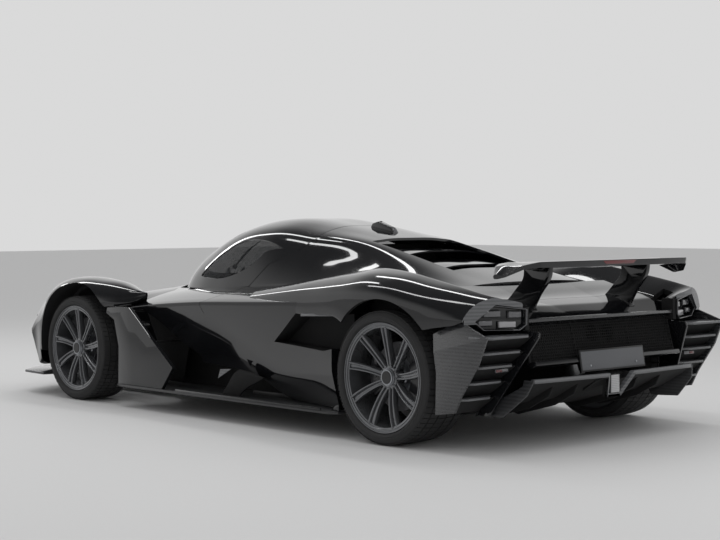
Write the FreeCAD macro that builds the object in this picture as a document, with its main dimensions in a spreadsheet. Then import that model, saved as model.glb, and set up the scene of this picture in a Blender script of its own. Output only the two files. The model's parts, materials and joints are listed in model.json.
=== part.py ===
"""A two-seat closed-cockpit hypercar: a slim monocoque and nose between free front fenders, undercut
side pods, a front-hinged bubble canopy, a louvred engine cover and a low rear wing on two pylons.
Millimetres. +X points forward, +Y to the car's left, +Z up. The origin is on the ground in the middle
of the length and width."""
import FreeCAD, Part
import math
import os
import Sketcher

V = FreeCAD.Vector
doc = FreeCAD.newDocument("hypercar")

# Driving dimensions
SIZES = {
    "wheelbase": 2850, "front_overhang": 1000, "rear_overhang": 776,
    "track_front": 1690, "track_rear": 1660,
    "tyre_radius_front": 330.5, "tyre_width_front": 255, "rim_seat_front": 254, "hub_recess_front": 22,
    "tyre_radius_rear": 345, "tyre_width_rear": 310, "rim_seat_rear": 267, "hub_recess_rear": 48,
    "rim_flange_height": 17.5, "rim_wall": 8, "rim_flange_width": 7, "spoke_pairs": 9,
    "spoke_width_hub": 15, "spoke_width_rim": 12, "spoke_depth_hub": 34, "spoke_depth_rim": 20,
    "spoke_pair_gap": 17, "hub_radius": 62, "lock_nut_radius": 36, "lock_nut_stand": 16,
    "disc_radius_front": 188, "disc_radius_rear": 178, "disc_thickness": 32, "disc_inboard": 42,
    "axle_radius": 30, "axle_clearance": 0.05, "kingpin_inboard": 70, "knuckle_thickness": 46,
    "upper_arm_height": 455, "lower_arm_height": 190, "arm_tube_radius": 13, "arm_spread": 150,
    "ball_half_height": 22,
    "tub_half_width": 500, "tub_wall": 42, "floor_height": 118, "floor_thickness": 22,
    "body_half_width": 985, "belt_lip": 22, "sill_thickness": 16,
    "blade_thickness": 24, "fender_skin": 25, "seam": 6, "seat_gap": 0.3,
    "arch_clearance_front": 57.5, "arch_radius_front": 415, "arch_clearance_rear": 57, "fender_inboard": 265, "cover_half_width": 620,
    "splitter_thickness": 20,
    "canopy_skin": 12, "canopy_hinge_height": 733, "hinge_notch": 26, "hinge_half_length": 70,
    "hinge_barrel": 9, "hinge_pin": 5, "hinge_clearance": 0.05,
    "louvre_half_width": 320, "louvre_rise": 46, "louvre_pitch": 265, "louvre_first": 660,
    "louvre_count": 3,
    "cover_skin": 14,
    "corner_panel": 14, "slat_thickness": 12, "mesh_columns": 6,
    "wing_height": 930, "wing_thickness": 34, "pylon_half_spacing": 395, "pylon_thickness": 30,
    "plate_width": 520, "plate_height": 112, "plate_thickness": 6, "plate_lean": 10,
    "diffuser_half_width": 650, "diffuser_plate": 16,
    "engine_length": 640, "engine_width": 560, "engine_height": 520, "gearbox_width": 340, "gearbox_height": 340,
    "exhaust_radius": 48, "exhaust_wall": 4, "exhaust_half_spacing": 62,
    "seat_width": 420, "seat_middle": 228, "steering_wheel_radius": 150,
}

sheet = doc.addObject("Spreadsheet::Sheet", "sizes")
for row, (name, value) in enumerate(SIZES.items(), start=1):
    sheet.set(f"A{row}", name)
    sheet.set(f"B{row}", str(value))
    sheet.setAlias(f"B{row}", name)
doc.recompute()


def size(name):
    """The value of one named cell."""
    return float(getattr(sheet, name))


class Bound:
    """A number together with the expression that gives it from the sheet."""

    def __init__(self, value, text=None):
        self.value = float(value)
        self.text = text or repr(float(value))

    def joined(self, other, sign, value):
        """A new number from two, with both expressions."""
        return Bound(value, f"({self.text} {sign} {other.text})")

    def __add__(self, other):
        other = bound(other)
        return self.joined(other, "+", self.value + other.value)

    def __sub__(self, other):
        other = bound(other)
        return self.joined(other, "-", self.value - other.value)

    def __mul__(self, other):
        other = bound(other)
        return self.joined(other, "*", self.value * other.value)

    def __truediv__(self, other):
        other = bound(other)
        return self.joined(other, "/", self.value / other.value)


def bound(value):
    """A plain number, the name of a cell or a bound number, as a bound number."""
    if isinstance(value, str):
        return Bound(size(value), f"sizes.{value}")
    return value if isinstance(value, Bound) else Bound(value)


LENGTH = size("wheelbase") + size("front_overhang") + size("rear_overhang")
FRONT_AXLE = LENGTH / 2 - size("front_overhang")
REAR_AXLE = FRONT_AXLE - size("wheelbase")
SEAM = size("seam")
GAP = size("seat_gap")


def behind_front(distance):
    """The X of a station that lies so far behind the front axle."""
    return FRONT_AXLE - distance


def behind_rear(distance):
    """The X of a station that lies so far behind the rear axle."""
    return REAR_AXLE - distance


# Shape helpers
def outline(points):
    """A closed wire of straight lines through the points."""
    corners = [V(*p) for p in points]
    return Part.makePolygon(corners + [corners[0]])


def section(x, points):
    """A ring of corners across the car at one station, from (y, z) pairs."""
    return [V(x, y, z) for y, z in points]


def flat_panel(corners):
    """The face through three or four corners, or two triangles where four don't share a plane."""
    kept = [p for i, p in enumerate(corners) if (p - corners[i - 1]).Length > 0.001]
    if len(kept) < 3:
        return []
    if len(kept) == 4:
        a, b, c, d = kept
        normal = (c - a).cross(d - b).normalize()
        if abs(normal.dot(b - a)) > 1e-6:
            halves = ((a, b, c), (a, c, d)) if (c - a).Length <= (d - b).Length else ((a, b, d), (b, c, d))
            return [Part.Face(Part.makePolygon([*half, half[0]])) for half in halves
                    if (half[1] - half[0]).cross(half[2] - half[0]).Length > 0.01]
    return [Part.Face(Part.makePolygon(kept + kept[:1]))]


def panelled(rings, looped=False):
    """A solid with flat sides through rings of corners, closed by end faces or, looped, by its first ring."""
    faces = []
    for near, far in zip(rings, rings[1:] + rings[:1] if looped else rings[1:]):
        for i in range(len(near)):
            faces += flat_panel([near[i - 1], near[i], far[i], far[i - 1]])
    if not looped:
        faces += [Part.Face(Part.makePolygon(ring + ring[:1])) for ring in (rings[0], rings[-1])]
    shell = Part.makeShell(faces)
    shell.sewShape()
    solid = Part.makeSolid(shell)
    if solid.Volume < 0:
        solid.reverse()
    return solid


def turned(points, sides):
    """A solid turned about Y from its closed (radius, y) outline, with flat sides that lie outside each radius."""
    rings = []
    for radius, y in points:
        reach = radius / math.cos(math.pi / sides)
        angles = [math.tau * (k + 0.5) / sides - math.pi / 2 for k in range(sides)]
        rings.append([V(reach * math.cos(a), y, reach * math.sin(a)) for a in angles])
    return clean(panelled(rings, True))


def inside(radius, sides):
    """The radius to give to a turned solid whose corners may not pass the given one."""
    return radius * math.cos(math.pi / sides)


def drum(centre, radius, length, sides):
    """A turned drum along Y from a centre on its near end."""
    shape = turned([(0, 0), (radius, 0), (radius, length), (0, length)], sides)
    shape.translate(V(*centre))
    return shape


def side_prism(points, low_y, high_y):
    """A solid of the (x, z) outline between two Y planes."""
    face = Part.Face(outline([(x, low_y, z) for x, z in points]))
    return face.extrude(V(0, high_y - low_y, 0))


def plan_prism(points, low_z, high_z):
    """A solid of the (x, y) outline between two heights."""
    face = Part.Face(outline([(x, y, low_z) for x, y in points]))
    return face.extrude(V(0, 0, high_z - low_z))


def box(corner, opposite):
    """A block between two opposite corners."""
    low = [min(pair) for pair in zip(corner, opposite)]
    lengths = [abs(b - a) for a, b in zip(corner, opposite)]
    return Part.makeBox(*lengths, V(*low))


def rod(start, end, radius, sides=8):
    """A bar with flat sides from one point to another."""
    run = V(*end) - V(*start)
    shape = turned([(0, 0), (radius, 0), (radius, run.Length), (0, run.Length)], sides)
    shape.Placement = FreeCAD.Placement(V(*start), FreeCAD.Rotation(V(0, 1, 0), run))
    return shape


def mirrored(shape):
    """The same shape on the car's other side."""
    return shape.mirror(V(0, 0, 0), V(0, 1, 0))


def both_sides(shape):
    """The shape and its mirror image, as two solids."""
    return Part.makeCompound([shape, mirrored(shape)])


def symmetric(half):
    """(y, z) pairs of a whole section from its left half, which runs from the middle outwards."""
    return [(-y, z) for y, z in reversed(half) if y > 0] + list(half)


def clean(shape):
    """The shape without the seams that a fusion leaves."""
    return shape.removeSplitter()


pieces = {}


def plane_of(body, role):
    """One of a body's own origin planes."""
    return [f for f in body.Origin.OriginFeatures if f.Role == role][0]


def sketched(body, plane, corners, lift=0):
    """A closed sketch of straight lines whose corners are bound to the sheet, on one of the body's planes."""
    sketch = body.newObject("Sketcher::SketchObject", body.Name + "_outline")
    sketch.AttachmentSupport = [(plane_of(body, plane), "")]
    sketch.MapMode = "FlatFace"
    sketch.setExpression("AttachmentOffset.Base.z", bound(lift).text)
    spots = [V(bound(a).value, bound(b).value, 0) for a, b in corners]
    for start, end in zip(spots, spots[1:] + spots[:1]):
        sketch.addGeometry(Part.LineSegment(start, end), False)
    for i in range(len(spots)):
        sketch.addConstraint(Sketcher.Constraint("Coincident", i, 2, (i + 1) % len(spots), 1))
    for i, pair in enumerate(corners):
        for kind, number in zip(("DistanceX", "DistanceY"), pair):
            number = bound(number)
            if abs(number.value) < 1e-9:
                axis = -2 if kind == "DistanceX" else -1
                sketch.addConstraint(Sketcher.Constraint("PointOnObject", i, 1, axis))
                continue
            index = sketch.addConstraint(Sketcher.Constraint(kind, -1, 1, i, 1, number.value))
            sketch.setExpression(f"Constraints[{index}]", number.text)
    return sketch


def padded_plate(name, plane, corners, depth, lift=0, midplane=False):
    """A body whose bound outline is raised by a bound depth, to both sides of its plane where it is midplane."""
    body = doc.addObject("PartDesign::Body", name)
    body.Label = name
    sketch = sketched(body, plane, corners, lift)
    doc.recompute()
    pad = body.newObject("PartDesign::Pad", name + "_pad")
    pad.Profile = sketch
    pad.Midplane = midplane
    pad.setExpression("Length", bound(depth).text)
    body.Tip = pad
    doc.recompute()
    pieces[name] = body
    return body.Shape


def mirrored_plan(half):
    """The whole outline of a plate from its left half, which runs from front to back."""
    return list(half) + [(x, bound(y) * -1) for x, y in reversed(half) if bound(y).value > 0]


def add(name, shape):
    """Stores a shape as one sub-part of the document."""
    feature = doc.addObject("Part::Feature", name)
    feature.Label = name
    feature.Shape = shape
    pieces[name] = feature
    return feature


# Wheels: each is a tyre, a rim and a disc with its axle, made about the wheel's own centre, with flat sides
TYRE_SIDES = 24
RIM_SIDES = 24
HUB_SIDES = 14
PIN_SIDES = 12


def tyre_profile(radius, width, seat):
    """(radius, y) corners of a low tyre's section, outer face first."""
    half = width / 2
    bead = half - 20
    return [(seat, bead), (seat + 2 * size("rim_flange_height"), half), (radius - 20, half - 3), (radius, half - 32),
            (radius, -half + 32), (radius - 20, -half + 3), (seat + 2 * size("rim_flange_height"), -half),
            (seat, -bead)]


def rim_shape(seat, width, recess):
    """A rim with its barrel, twin spokes and hub, facing +Y."""
    half = width / 2 - 20
    wall, flange = size("rim_wall"), size("rim_flange_height")
    lip = size("rim_flange_width")
    outer = seat - GAP
    barrel = turned([(outer, half + GAP), (outer, -half - GAP), (outer + flange - 8, -half - lip),
                     (seat - wall - 10, -half - lip), (seat - wall - 10, half - 50), (seat - wall - 2, half + lip - 6),
                     (outer + flange - 8, half + lip)], RIM_SIDES)
    face = half + lip
    hub_face = face - recess
    hub = turned([(0, hub_face - 52), (size("hub_radius") + 4, hub_face - 52), (size("hub_radius"), hub_face - 8),
                  (size("hub_radius") - 10, hub_face), (0, hub_face)], HUB_SIDES)
    nut_radius = size("lock_nut_radius")
    nut = drum((0, hub_face - 2, 0), nut_radius, size("lock_nut_stand") + 2, 10)
    parts = [hub, nut]
    reach = seat - wall - 4
    pairs = int(size("spoke_pairs"))
    # columns: share of the way out, how far the spoke's face lies below the rim's face
    stations = ((0.0, recess + 4), (1.0, 6))
    for k in range(pairs):
        for side in (-1, 1):
            wires = []
            for share, drop in stations:
                r = 46 + (reach - 46) * share
                wide = size("spoke_width_hub") * (1 - share) + size("spoke_width_rim") * share
                deep = size("spoke_depth_hub") * (1 - share) + size("spoke_depth_rim") * share
                gap = size("spoke_pair_gap") * (0.55 + 0.6 * share)
                top = face - drop
                x0, x1 = side * gap / 2, side * (gap / 2 + wide)
                wires.append([V(x0, top, r), V(x1, top, r), V(x1, top - deep, r), V(x0, top - deep, r)])
            spoke = panelled(wires)
            parts.append(spoke.rotate(V(0, 0, 0), V(0, 1, 0), 360.0 * k / pairs))
    return clean(barrel.multiFuse(parts))


def disc_shape(radius, rim_hub_back, inboard_reach):
    """A vented disc on its bell, with the axle that runs in the knuckle, facing +Y. The bell ends on the rim's hub."""
    thick = size("disc_thickness")
    middle = rim_hub_back - size("disc_inboard")
    bell = 76
    axle = inside(size("axle_radius"), HUB_SIDES)
    return turned([(0, rim_hub_back), (bell, rim_hub_back), (bell, middle + thick / 2), (radius, middle + thick / 2),
                   (radius, middle - thick / 2), (axle, middle - thick / 2), (axle, inboard_reach),
                   (0, inboard_reach)], HUB_SIDES)


# columns: end of the car, axle X, half track, tyre radius, tyre width, rim seat, hub recess, disc radius
AXLES = {
    "front": (FRONT_AXLE, size("track_front") / 2, size("tyre_radius_front"), size("tyre_width_front"),
              size("rim_seat_front"), size("hub_recess_front"), size("disc_radius_front")),
    "rear": (REAR_AXLE, size("track_rear") / 2, size("tyre_radius_rear"), size("tyre_width_rear"),
             size("rim_seat_rear"), size("hub_recess_rear"), size("disc_radius_rear")),
}


def hub_back(width, recess):
    """How far outboard of the wheel's middle the back of the rim's hub lies."""
    return width / 2 - 20 + size("rim_flange_width") - recess - 52


for end, (axle_x, half_track, radius, width, seat, recess, disc_radius) in AXLES.items():
    back = hub_back(width, recess)
    shaft_end = -(size("kingpin_inboard") + size("knuckle_thickness") / 2 + 14)
    if end == "rear":
        shaft_end = -(half_track - size("gearbox_width") / 2 - GAP)
    for side, sign in (("left", 1), ("right", -1)):
        spot = FreeCAD.Placement(V(axle_x, sign * half_track, radius),
                                 FreeCAD.Rotation(V(0, 0, 1), 0 if sign > 0 else 180))
        label = f"{end}_{side}"
        tyre = add(f"tyre_{label}", turned(tyre_profile(radius, width, seat), TYRE_SIDES))
        tyre.Placement = spot
        rim = add(f"rim_{label}", rim_shape(seat, width, recess))
        rim.Placement = spot
        disc = add(f"brake_disc_{label}", disc_shape(disc_radius, back - GAP, shaft_end))
        disc.Placement = spot


# Knuckles, calipers and arms
def knuckle_shape(end):
    """The left knuckle with its bearing bore, arm lugs and brake caliper."""
    axle_x, half_track, radius, width, seat, recess, disc_radius = AXLES[end]
    y_pin = half_track - size("kingpin_inboard")
    thick = size("knuckle_thickness")
    upper, lower = size("upper_arm_height"), size("lower_arm_height")
    ball = size("ball_half_height")
    upright = side_prism([(axle_x - 34, lower + ball), (axle_x + 34, lower + ball), (axle_x + 62, radius),
                          (axle_x + 30, upper - ball), (axle_x - 30, upper - ball), (axle_x - 62, radius)],
                         y_pin - thick / 2, y_pin + thick / 2)
    bore = drum((axle_x, y_pin - thick, radius), size("axle_radius") + size("axle_clearance"), 2 * thick, HUB_SIDES)
    disc_middle = half_track + hub_back(width, recess) - GAP - size("disc_inboard")
    half_disc = size("disc_thickness") / 2 + 4
    inner, outer = disc_radius - 62, disc_radius + 14
    span = math.radians(34)
    arc = []
    for r, angles in ((outer, (-1, -0.33, 0.33, 1)), (inner, (1, 0, -1))):
        for a in angles:
            t = math.pi + span * a
            arc.append((axle_x + r * math.cos(t), radius + r * math.sin(t)))
    caliper = side_prism(arc, disc_middle - half_disc - 30, disc_middle + half_disc + 22)
    slot = drum((axle_x, disc_middle - half_disc, radius), disc_radius + 5, 2 * half_disc, HUB_SIDES)
    caliper = caliper.cut(slot)
    foot = box((axle_x - inner - 20, y_pin - thick / 2, radius - 34),
               (axle_x - 40, y_pin + thick / 2, radius + 34))
    bridge = box((axle_x - inner - 34, y_pin - thick / 2, radius - 34),
                 (axle_x - inner - 2, disc_middle - half_disc, radius + 34))
    return clean(upright.multiFuse([caliper, foot, bridge]).cut(bore))


def arms_shape(end):
    """The left pair of wishbones, each a V of two tubes from the tub to its ball joint."""
    axle_x, half_track, radius = AXLES[end][:3]
    y_pin = half_track - size("kingpin_inboard")
    inner = (size("tub_half_width") - 60) if end == "front" else size("gearbox_width") / 2 - 20
    tube, spread = size("arm_tube_radius"), size("arm_spread")
    solids = []
    for height in (size("upper_arm_height"), size("lower_arm_height")):
        tubes = [rod((axle_x + s * spread, inner, height), (axle_x, y_pin, height), tube, 5) for s in (-1, 1)]
        half_ball = size("ball_half_height") - GAP
        ball = rod((axle_x, y_pin, height - half_ball), (axle_x, y_pin, height + half_ball), 22)
        solids.append(clean(ball.multiFuse(tubes)))
    return solids


# Body stations: a nominal distance from the middle of the wheelbase, moved with the axle that it belongs to
# columns: nominal station, real X
NOSE_END = (bound("wheelbase") + "front_overhang" + "rear_overhang") / 2
FRONT_LINE = NOSE_END - "front_overhang"
REAR_LINE = FRONT_LINE - "wheelbase"
STATIONS = (
    (2425, NOSE_END), (1825, FRONT_LINE + 400), (1025, FRONT_LINE - 400), (-1025, REAR_LINE + 400),
    (-1805, REAR_LINE - 380), (-2201, NOSE_END * -1),
)


def bound_at(station):
    """The bound X of a nominal station, where the stretches between the axles and the ends give way."""
    for (w0, x0), (w1, x1) in zip(STATIONS, STATIONS[1:]):
        if station >= w1 or w1 == STATIONS[-1][0]:
            return x0 + (x1 - x0) * ((station - w0) / (w1 - w0))


def at(station):
    """The X of a nominal station."""
    return bound_at(station).value


def side(points):
    """(station, z) pairs as (x, z) pairs."""
    return [(at(w), z) for w, z in points]


TUB = size("tub_half_width")
WALL = size("tub_wall")
FLOOR_TOP = size("floor_height") + size("floor_thickness")
SHELL = size("body_half_width")
FRONT_TRACK = size("track_front") / 2
REAR_TRACK = size("track_rear") / 2
FENDER_SEAM = FRONT_TRACK - size("fender_inboard")
COVER_EDGE = size("cover_half_width")
FRONT_WELL = size("tyre_radius_front") + size("arch_clearance_front")
REAR_WELL = size("tyre_radius_rear") + size("arch_clearance_rear")
WELL_SIDES = 20
HINGE_X = at(1100)
HINGE_Z = size("canopy_hinge_height")


# Nose, from its tip to the front of the tub
# columns: station, low z, low y, waist z, waist y, side z, shoulder y, shoulder z, top z
NOSE = (
    (2418, 222, 200, 250, 225, 285, 160, 308, 316),
    (2250, 172, 420, 220, 470, 345, 360, 405, 428),
    (2060, 150, 540, 200, FENDER_SEAM, 425, 450, 500, 532),
    (1850, 150, 540, 200, FENDER_SEAM, 505, 440, 578, 606),
    (1760, 150, 460, 220, TUB - 25, 540, 400, 605, 634),
    (1425, 150, 440, 220, TUB - 25, 590, 370, 655, 686),
    (1122, 150, 440, 220, TUB - 10, 640, 360, 705, 726),
)


# The cowl, a thin ledge between the canopy's foot and the side pod
# columns: station, inner y, inner z, middle y, middle z, outer y, outer z
COWL = ((1124, 175, 713, 360, 706, TUB - 10, 650), (980, 374, 713, 440, 707, TUB, 692),
        (874, 462, 712, 484, 709, TUB, 705))


def cowl_shape():
    """The left cowl."""
    wires = []
    for w, y1, z1, y2, z2, y3, z3 in COWL:
        wires.append(section(at(w), [(y1, z1 - 12), (y2, z2 - 12), (y3, z3 - 12), (y3, z3), (y2, z2), (y1, z1)]))
    return panelled(wires)


def nose_shape():
    """The nose: a closed shell between the fenders, with a duct in its tip and the hinge's notch in its top."""
    wires = []
    for w, low, low_y, waist, waist_y, side_z, shoulder_y, shoulder_z, top in NOSE:
        half = [(0, low), (low_y, low), (waist_y, waist), (waist_y, side_z), (shoulder_y, shoulder_z), (0, top)]
        wires.append(section(at(w), symmetric(half)))
    body = panelled(wires)
    notch = drum((HINGE_X, -size("hinge_half_length") - 30, HINGE_Z), size("hinge_notch"),
                 2 * size("hinge_half_length") + 60, 12)
    duct = side_prism(side([(2440, 228), (2440, 292), (2330, 300), (2330, 240)]), -150, 150)
    cowl = cowl_shape()
    return clean(body.multiFuse([cowl, mirrored(cowl)])).cut(notch).cut(duct)


nose = nose_shape()
add("nose_cone", nose)

# Splitter: a plate under the nose that reaches out past the fenders
# columns: station, y
SPLITTER = ((2425, 0), (2400, 260), (2300, 560), (2180, 800), (2060, 945), (1815, 955), (1790, 780), (1770, 500),
            (1700, 440))
SPLITTER_TOP = 150


splitter_blank = doc.addObject("PartDesign::Body", "splitter_blank")
splitter_sketch = sketched(splitter_blank, "XY_Plane", mirrored_plan([(bound_at(w), y) for w, y in SPLITTER]),
                           bound(SPLITTER_TOP) - "splitter_thickness")
doc.recompute()
splitter_pad = splitter_blank.newObject("PartDesign::Pad", "splitter_pad")
splitter_pad.Profile = splitter_sketch
splitter_pad.setExpression("Length", "sizes.splitter_thickness")
splitter_blank.Tip = splitter_pad
doc.recompute()
splitter = doc.addObject("Part::Cut", "splitter")
splitter.Label = "splitter"
splitter.Base = splitter_blank
splitter.Tool = pieces["nose_cone"]
doc.recompute()
pieces["splitter"] = splitter

# Front fenders: free arches over the wheels with a tail that runs out over the side pod
# columns: station, inner and outer offset from the wheel's middle, low z, side z, crown z, inner z
FRONT_FENDER = (
    (2160, -245, -30, 185, 235, 275, 262),
    (2060, None, 62, 185, 400, 470, 440),
    (1965, None, 72, 185, 492, 622, 585),
    (1850, None, 108, 240, 520, 700, 660),
    (1735, -245, 126, 400, 642, 742, 695),
    (1620, -235, 132, 480, 700, 768, 712),
    (1435, -225, 132, 500, 722, 779, 718),
    (1250, -205, 126, 500, 690, 767, 706),
    (1120, -175, 110, 600, 658, 752, 698),
    (1000, -120, 78, 608, 648, 728, 690),
    (905, -72, 30, 630, 655, 706, 684),
    (862, -50, -30, 668, 680, 696, 690),
)


def front_fender_shape():
    """The left front fender with its wheel well."""
    wires = []
    for w, inner, outer, low, side_z, crown, inner_z in FRONT_FENDER:
        y_in = FENDER_SEAM + GAP if inner is None else FRONT_TRACK + inner
        y_out = FRONT_TRACK + outer
        wires.append(section(at(w), [
            (y_in, low), (y_out - 8, low), (y_out, (low + side_z) / 2), (y_out - 6, side_z),
            (y_out - 0.16 * (y_out - y_in), side_z + 0.62 * (crown - side_z)), (y_out - 0.45 * (y_out - y_in), crown),
            (y_in + 0.12 * (y_out - y_in), inner_z + 0.5 * (crown - inner_z)), (y_in, inner_z)]))
    body = panelled(wires)
    well = drum((FRONT_AXLE, FRONT_TRACK - 330, size("tyre_radius_front")), FRONT_WELL, 600, WELL_SIDES)
    arch = drum((FRONT_AXLE, FRONT_TRACK - 45, size("tyre_radius_front")), size("arch_radius_front"), 200, WELL_SIDES)
    body = body.cut(well).cut(arch).cut(swept(PROW, 320)).cut(swept(AIR_GAP, 320))
    return body.cut(headlamp_block(0))


# Both outlines lie in the plane of the fender's side and run from there in and forward
# columns: station, z
PROW = ((2052, 700), (2052, 469), (2029, 392), (1985, 298), (1919, 183), (1865, 100), (2500, 100), (2500, 700))
AIR_GAP = ((1905, 300), (1840, 283), (1836, 200), (1885, 191))
PROW_Y = 900
PROW_TURN = 48


def swept(points, reach):
    """A solid that runs slanted from outside the fender's side in and forward."""
    turn = math.radians(PROW_TURN)
    way = V(math.cos(turn), -math.sin(turn), 0)
    face = Part.Face(outline([(x, PROW_Y, z) for x, z in side(points)]))
    face.translate(way * -120)
    return face.extrude(way * (120 + reach))


def headlamp_block(gap):
    """The slot of the left headlamp in the fender's front, or with a gap the lamp that stands in it."""
    outlines = side([(2102 - gap, 360 + gap), (2025 - gap, 520 - gap), (1985 + gap, 505 - gap), (2060 + gap, 345 + gap)])
    return side_prism(outlines, FRONT_TRACK - 195 + gap, FRONT_TRACK + 30 - gap).cut(swept(PROW, 320))


front_fender = front_fender_shape()

# Floor, sills and the blades behind the front wheels
# columns: station, y
TUB_LINE = bound("tub_half_width")
EDGE_LINE = bound("cover_half_width")
FLOOR = ((1120, 430), (1000, TUB_LINE - 10), (880, EDGE_LINE), (-1050, EDGE_LINE), (-1105, 430), (-1396, 430))
padded_plate("floor", "XY_Plane", mirrored_plan([(bound_at(w), y) for w, y in FLOOR]), "floor_thickness", "floor_height")

# columns: station, y inboard of the widest line
SILL = ((965, 30), (900, 5), (-1000, 5), (-1068, 40), (-1040, None), (880, None))


def sill_shape():
    """The left sill: a thin plate beside the floor with a turned-up edge and a small curved fin."""
    plan = [(at(w), COVER_EDGE + GAP if inset is None else SHELL - inset) for w, inset in SILL]
    plate = plan_prism(plan, FLOOR_TOP - size("sill_thickness"), FLOOR_TOP)
    lip = box((at(-960), SHELL - 5 - 12, FLOOR_TOP - 2), (at(330), SHELL - 5, FLOOR_TOP + 12))
    fin = side_prism(side([(60, FLOOR_TOP - 2), (-20, 232), (-150, 290), (-245, 305), (-215, 262), (-110, FLOOR_TOP - 2)]),
                     SHELL - 112, SHELL - 100)
    return clean(plate.multiFuse([lip, fin]))


sill = sill_shape()
add("sill_blades", both_sides(sill))

# columns: station, z
BLADE = ((1046, 531), (1008, 596), (900, 614), (820, 612), (591, 440), (369, 276), (480, FLOOR_TOP), (959, FLOOR_TOP),
         (947, 370))


def blade_shape():
    """The left vent blade, bowed a little out, between the fender's tail and the sill."""
    outer = SHELL - 15
    thick = size("blade_thickness")
    blade = side_prism(side(BLADE), outer - thick, outer)
    inner_face = side_prism(side([(1060, 560), (900, 600), (640, 440), (430, 290), (540, FLOOR_TOP + 20),
                                  (930, FLOOR_TOP + 20), (915, 380)]), outer - thick - 1, outer - 9)
    strut = box((at(700), TUB + 120, 400), (at(640), outer - 8, 412))
    blade = blade.cut(inner_face)
    return blade.cut(front_fender), strut


# Side pods: the flat shoulder with its sharp belt, and the undercut side that ends at the intake
# columns: station, low z, low y inset, middle y inset, middle z, belt inset, belt z, shoulder y, shoulder z, top z
SIDEPOD = (
    (945, 560, 285, 185, 572, 110, 606, TUB + 100, 680, 702),
    (750, FLOOR_TOP, 265, 205, 300, 113, 627, TUB + 92, 704, 715),
    (190, FLOOR_TOP, 265, 225, 280, 85, 668, COVER_EDGE - 18, 736, 742),
    (-600, FLOOR_TOP, 185, 105, 280, 50, 700, COVER_EDGE - 8, 765, 770),
    (-1030, FLOOR_TOP, 85, 25, 350, 28, 722, COVER_EDGE, 782, 788),
)
# columns: station, z of the low edge of the side's glossy face
UNDERCUT = ((1000, 560), (880, 590), (810, 600), (674, 535), (488, 414), (352, 342), (346, 298), (-75, 284),
            (-300, 240), (-520, FLOOR_TOP))
# columns: station, z
INTAKE = ((-480, 473), (-590, 550), (-700, 632), (-778, 690), (-800, 690), (-790, 636), (-1045, 646), (-1045, 470),
          (-950, 452))


def sidepod_shape():
    """The left side pod."""
    wires = []
    for w, low, low_in, mid_in, mid, belt_in, belt, shoulder_y, shoulder, top in SIDEPOD:
        y_in = TUB + GAP
        wires.append(section(at(w), [
            (y_in, low), (SHELL - low_in, low), (SHELL - mid_in, mid), (SHELL - belt_in, belt - size("belt_lip")),
            (SHELL - belt_in, belt), (shoulder_y, shoulder), (y_in, top)]))
    body = panelled(wires)
    low_edge = side(UNDERCUT)
    under = side_prism(low_edge + [(at(-520), 0), (at(1000), 0)], TUB + 120, SHELL + 200)
    intake = side_prism(side(INTAKE), SHELL - 190, SHELL + 200)
    bay = side_prism(side([(-500, 200), (-500, 700), (-1060, 700), (-1060, 200)]), TUB - 5, SHELL - 290)
    return body.cut(under).cut(intake).cut(bay)


sidepod = sidepod_shape()
front_fender = front_fender.cut(sidepod)
add("front_fenders", both_sides(front_fender))
blade, blade_strut = blade_shape()
add("vent_blades", both_sides(clean(blade.fuse(blade_strut)).cut(sidepod)))

# Tub: the open monocoque with its bulkheads, and the lugs and pin of the canopy's hinge
# columns: station, half width, wall top
TUB_SECTIONS = ((1121, TUB - 20, 640), (800, TUB, 672), (190, TUB, 706), (-450, TUB, 740))


def tub_shape():
    """The tub, hollow and open at its top."""
    outer, inner = [], []
    for w, half_width, top in TUB_SECTIONS:
        outer.append(section(at(w), [(-half_width + 30, FLOOR_TOP), (half_width - 30, FLOOR_TOP), (half_width, 220),
                                     (half_width, top), (-half_width, top), (-half_width, 220)]))
        inner.append(section(at(w) + 0, [(-half_width + WALL + 20, FLOOR_TOP + WALL), (half_width - WALL - 20, FLOOR_TOP + WALL),
                                         (half_width - WALL, 250), (half_width - WALL, top + 200),
                                         (-half_width + WALL, top + 200), (-half_width + WALL, 250)]))
    shell = panelled(outer).cut(panelled(inner))
    front = panelled(outer).common(box((at(1121) - WALL, -TUB, 0), (at(1121), TUB, 1000)))
    rear = Part.Face(outline([(at(-450), y, z) for y, z in [(-TUB + 60, FLOOR_TOP), (TUB - 60, FLOOR_TOP), (TUB - 20, 740), (TUB - 60, 880),
                                        (330, 1000), (-330, 1000), (-TUB + 60, 880), (-TUB + 20, 740)]]))
    rear = rear.extrude(V(WALL, 0, 0))
    reach = size("hinge_half_length")
    lugs = []
    for low in (-reach - 14, reach + GAP):
        lugs.append(box((at(1121) - WALL, low, 600), (HINGE_X + 9, low + 14 - GAP, HINGE_Z)))
        lugs.append(drum((HINGE_X, low, HINGE_Z), inside(size("hinge_barrel"), PIN_SIDES), 14 - GAP, PIN_SIDES))
    pin = drum((HINGE_X, -reach - 14, HINGE_Z), inside(size("hinge_pin"), PIN_SIDES), 2 * reach + 28, PIN_SIDES)
    return clean(shell.multiFuse([front, rear, pin] + lugs))


tub = tub_shape()
add("tub", tub)
add("sidepods", both_sides(sidepod))

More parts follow.
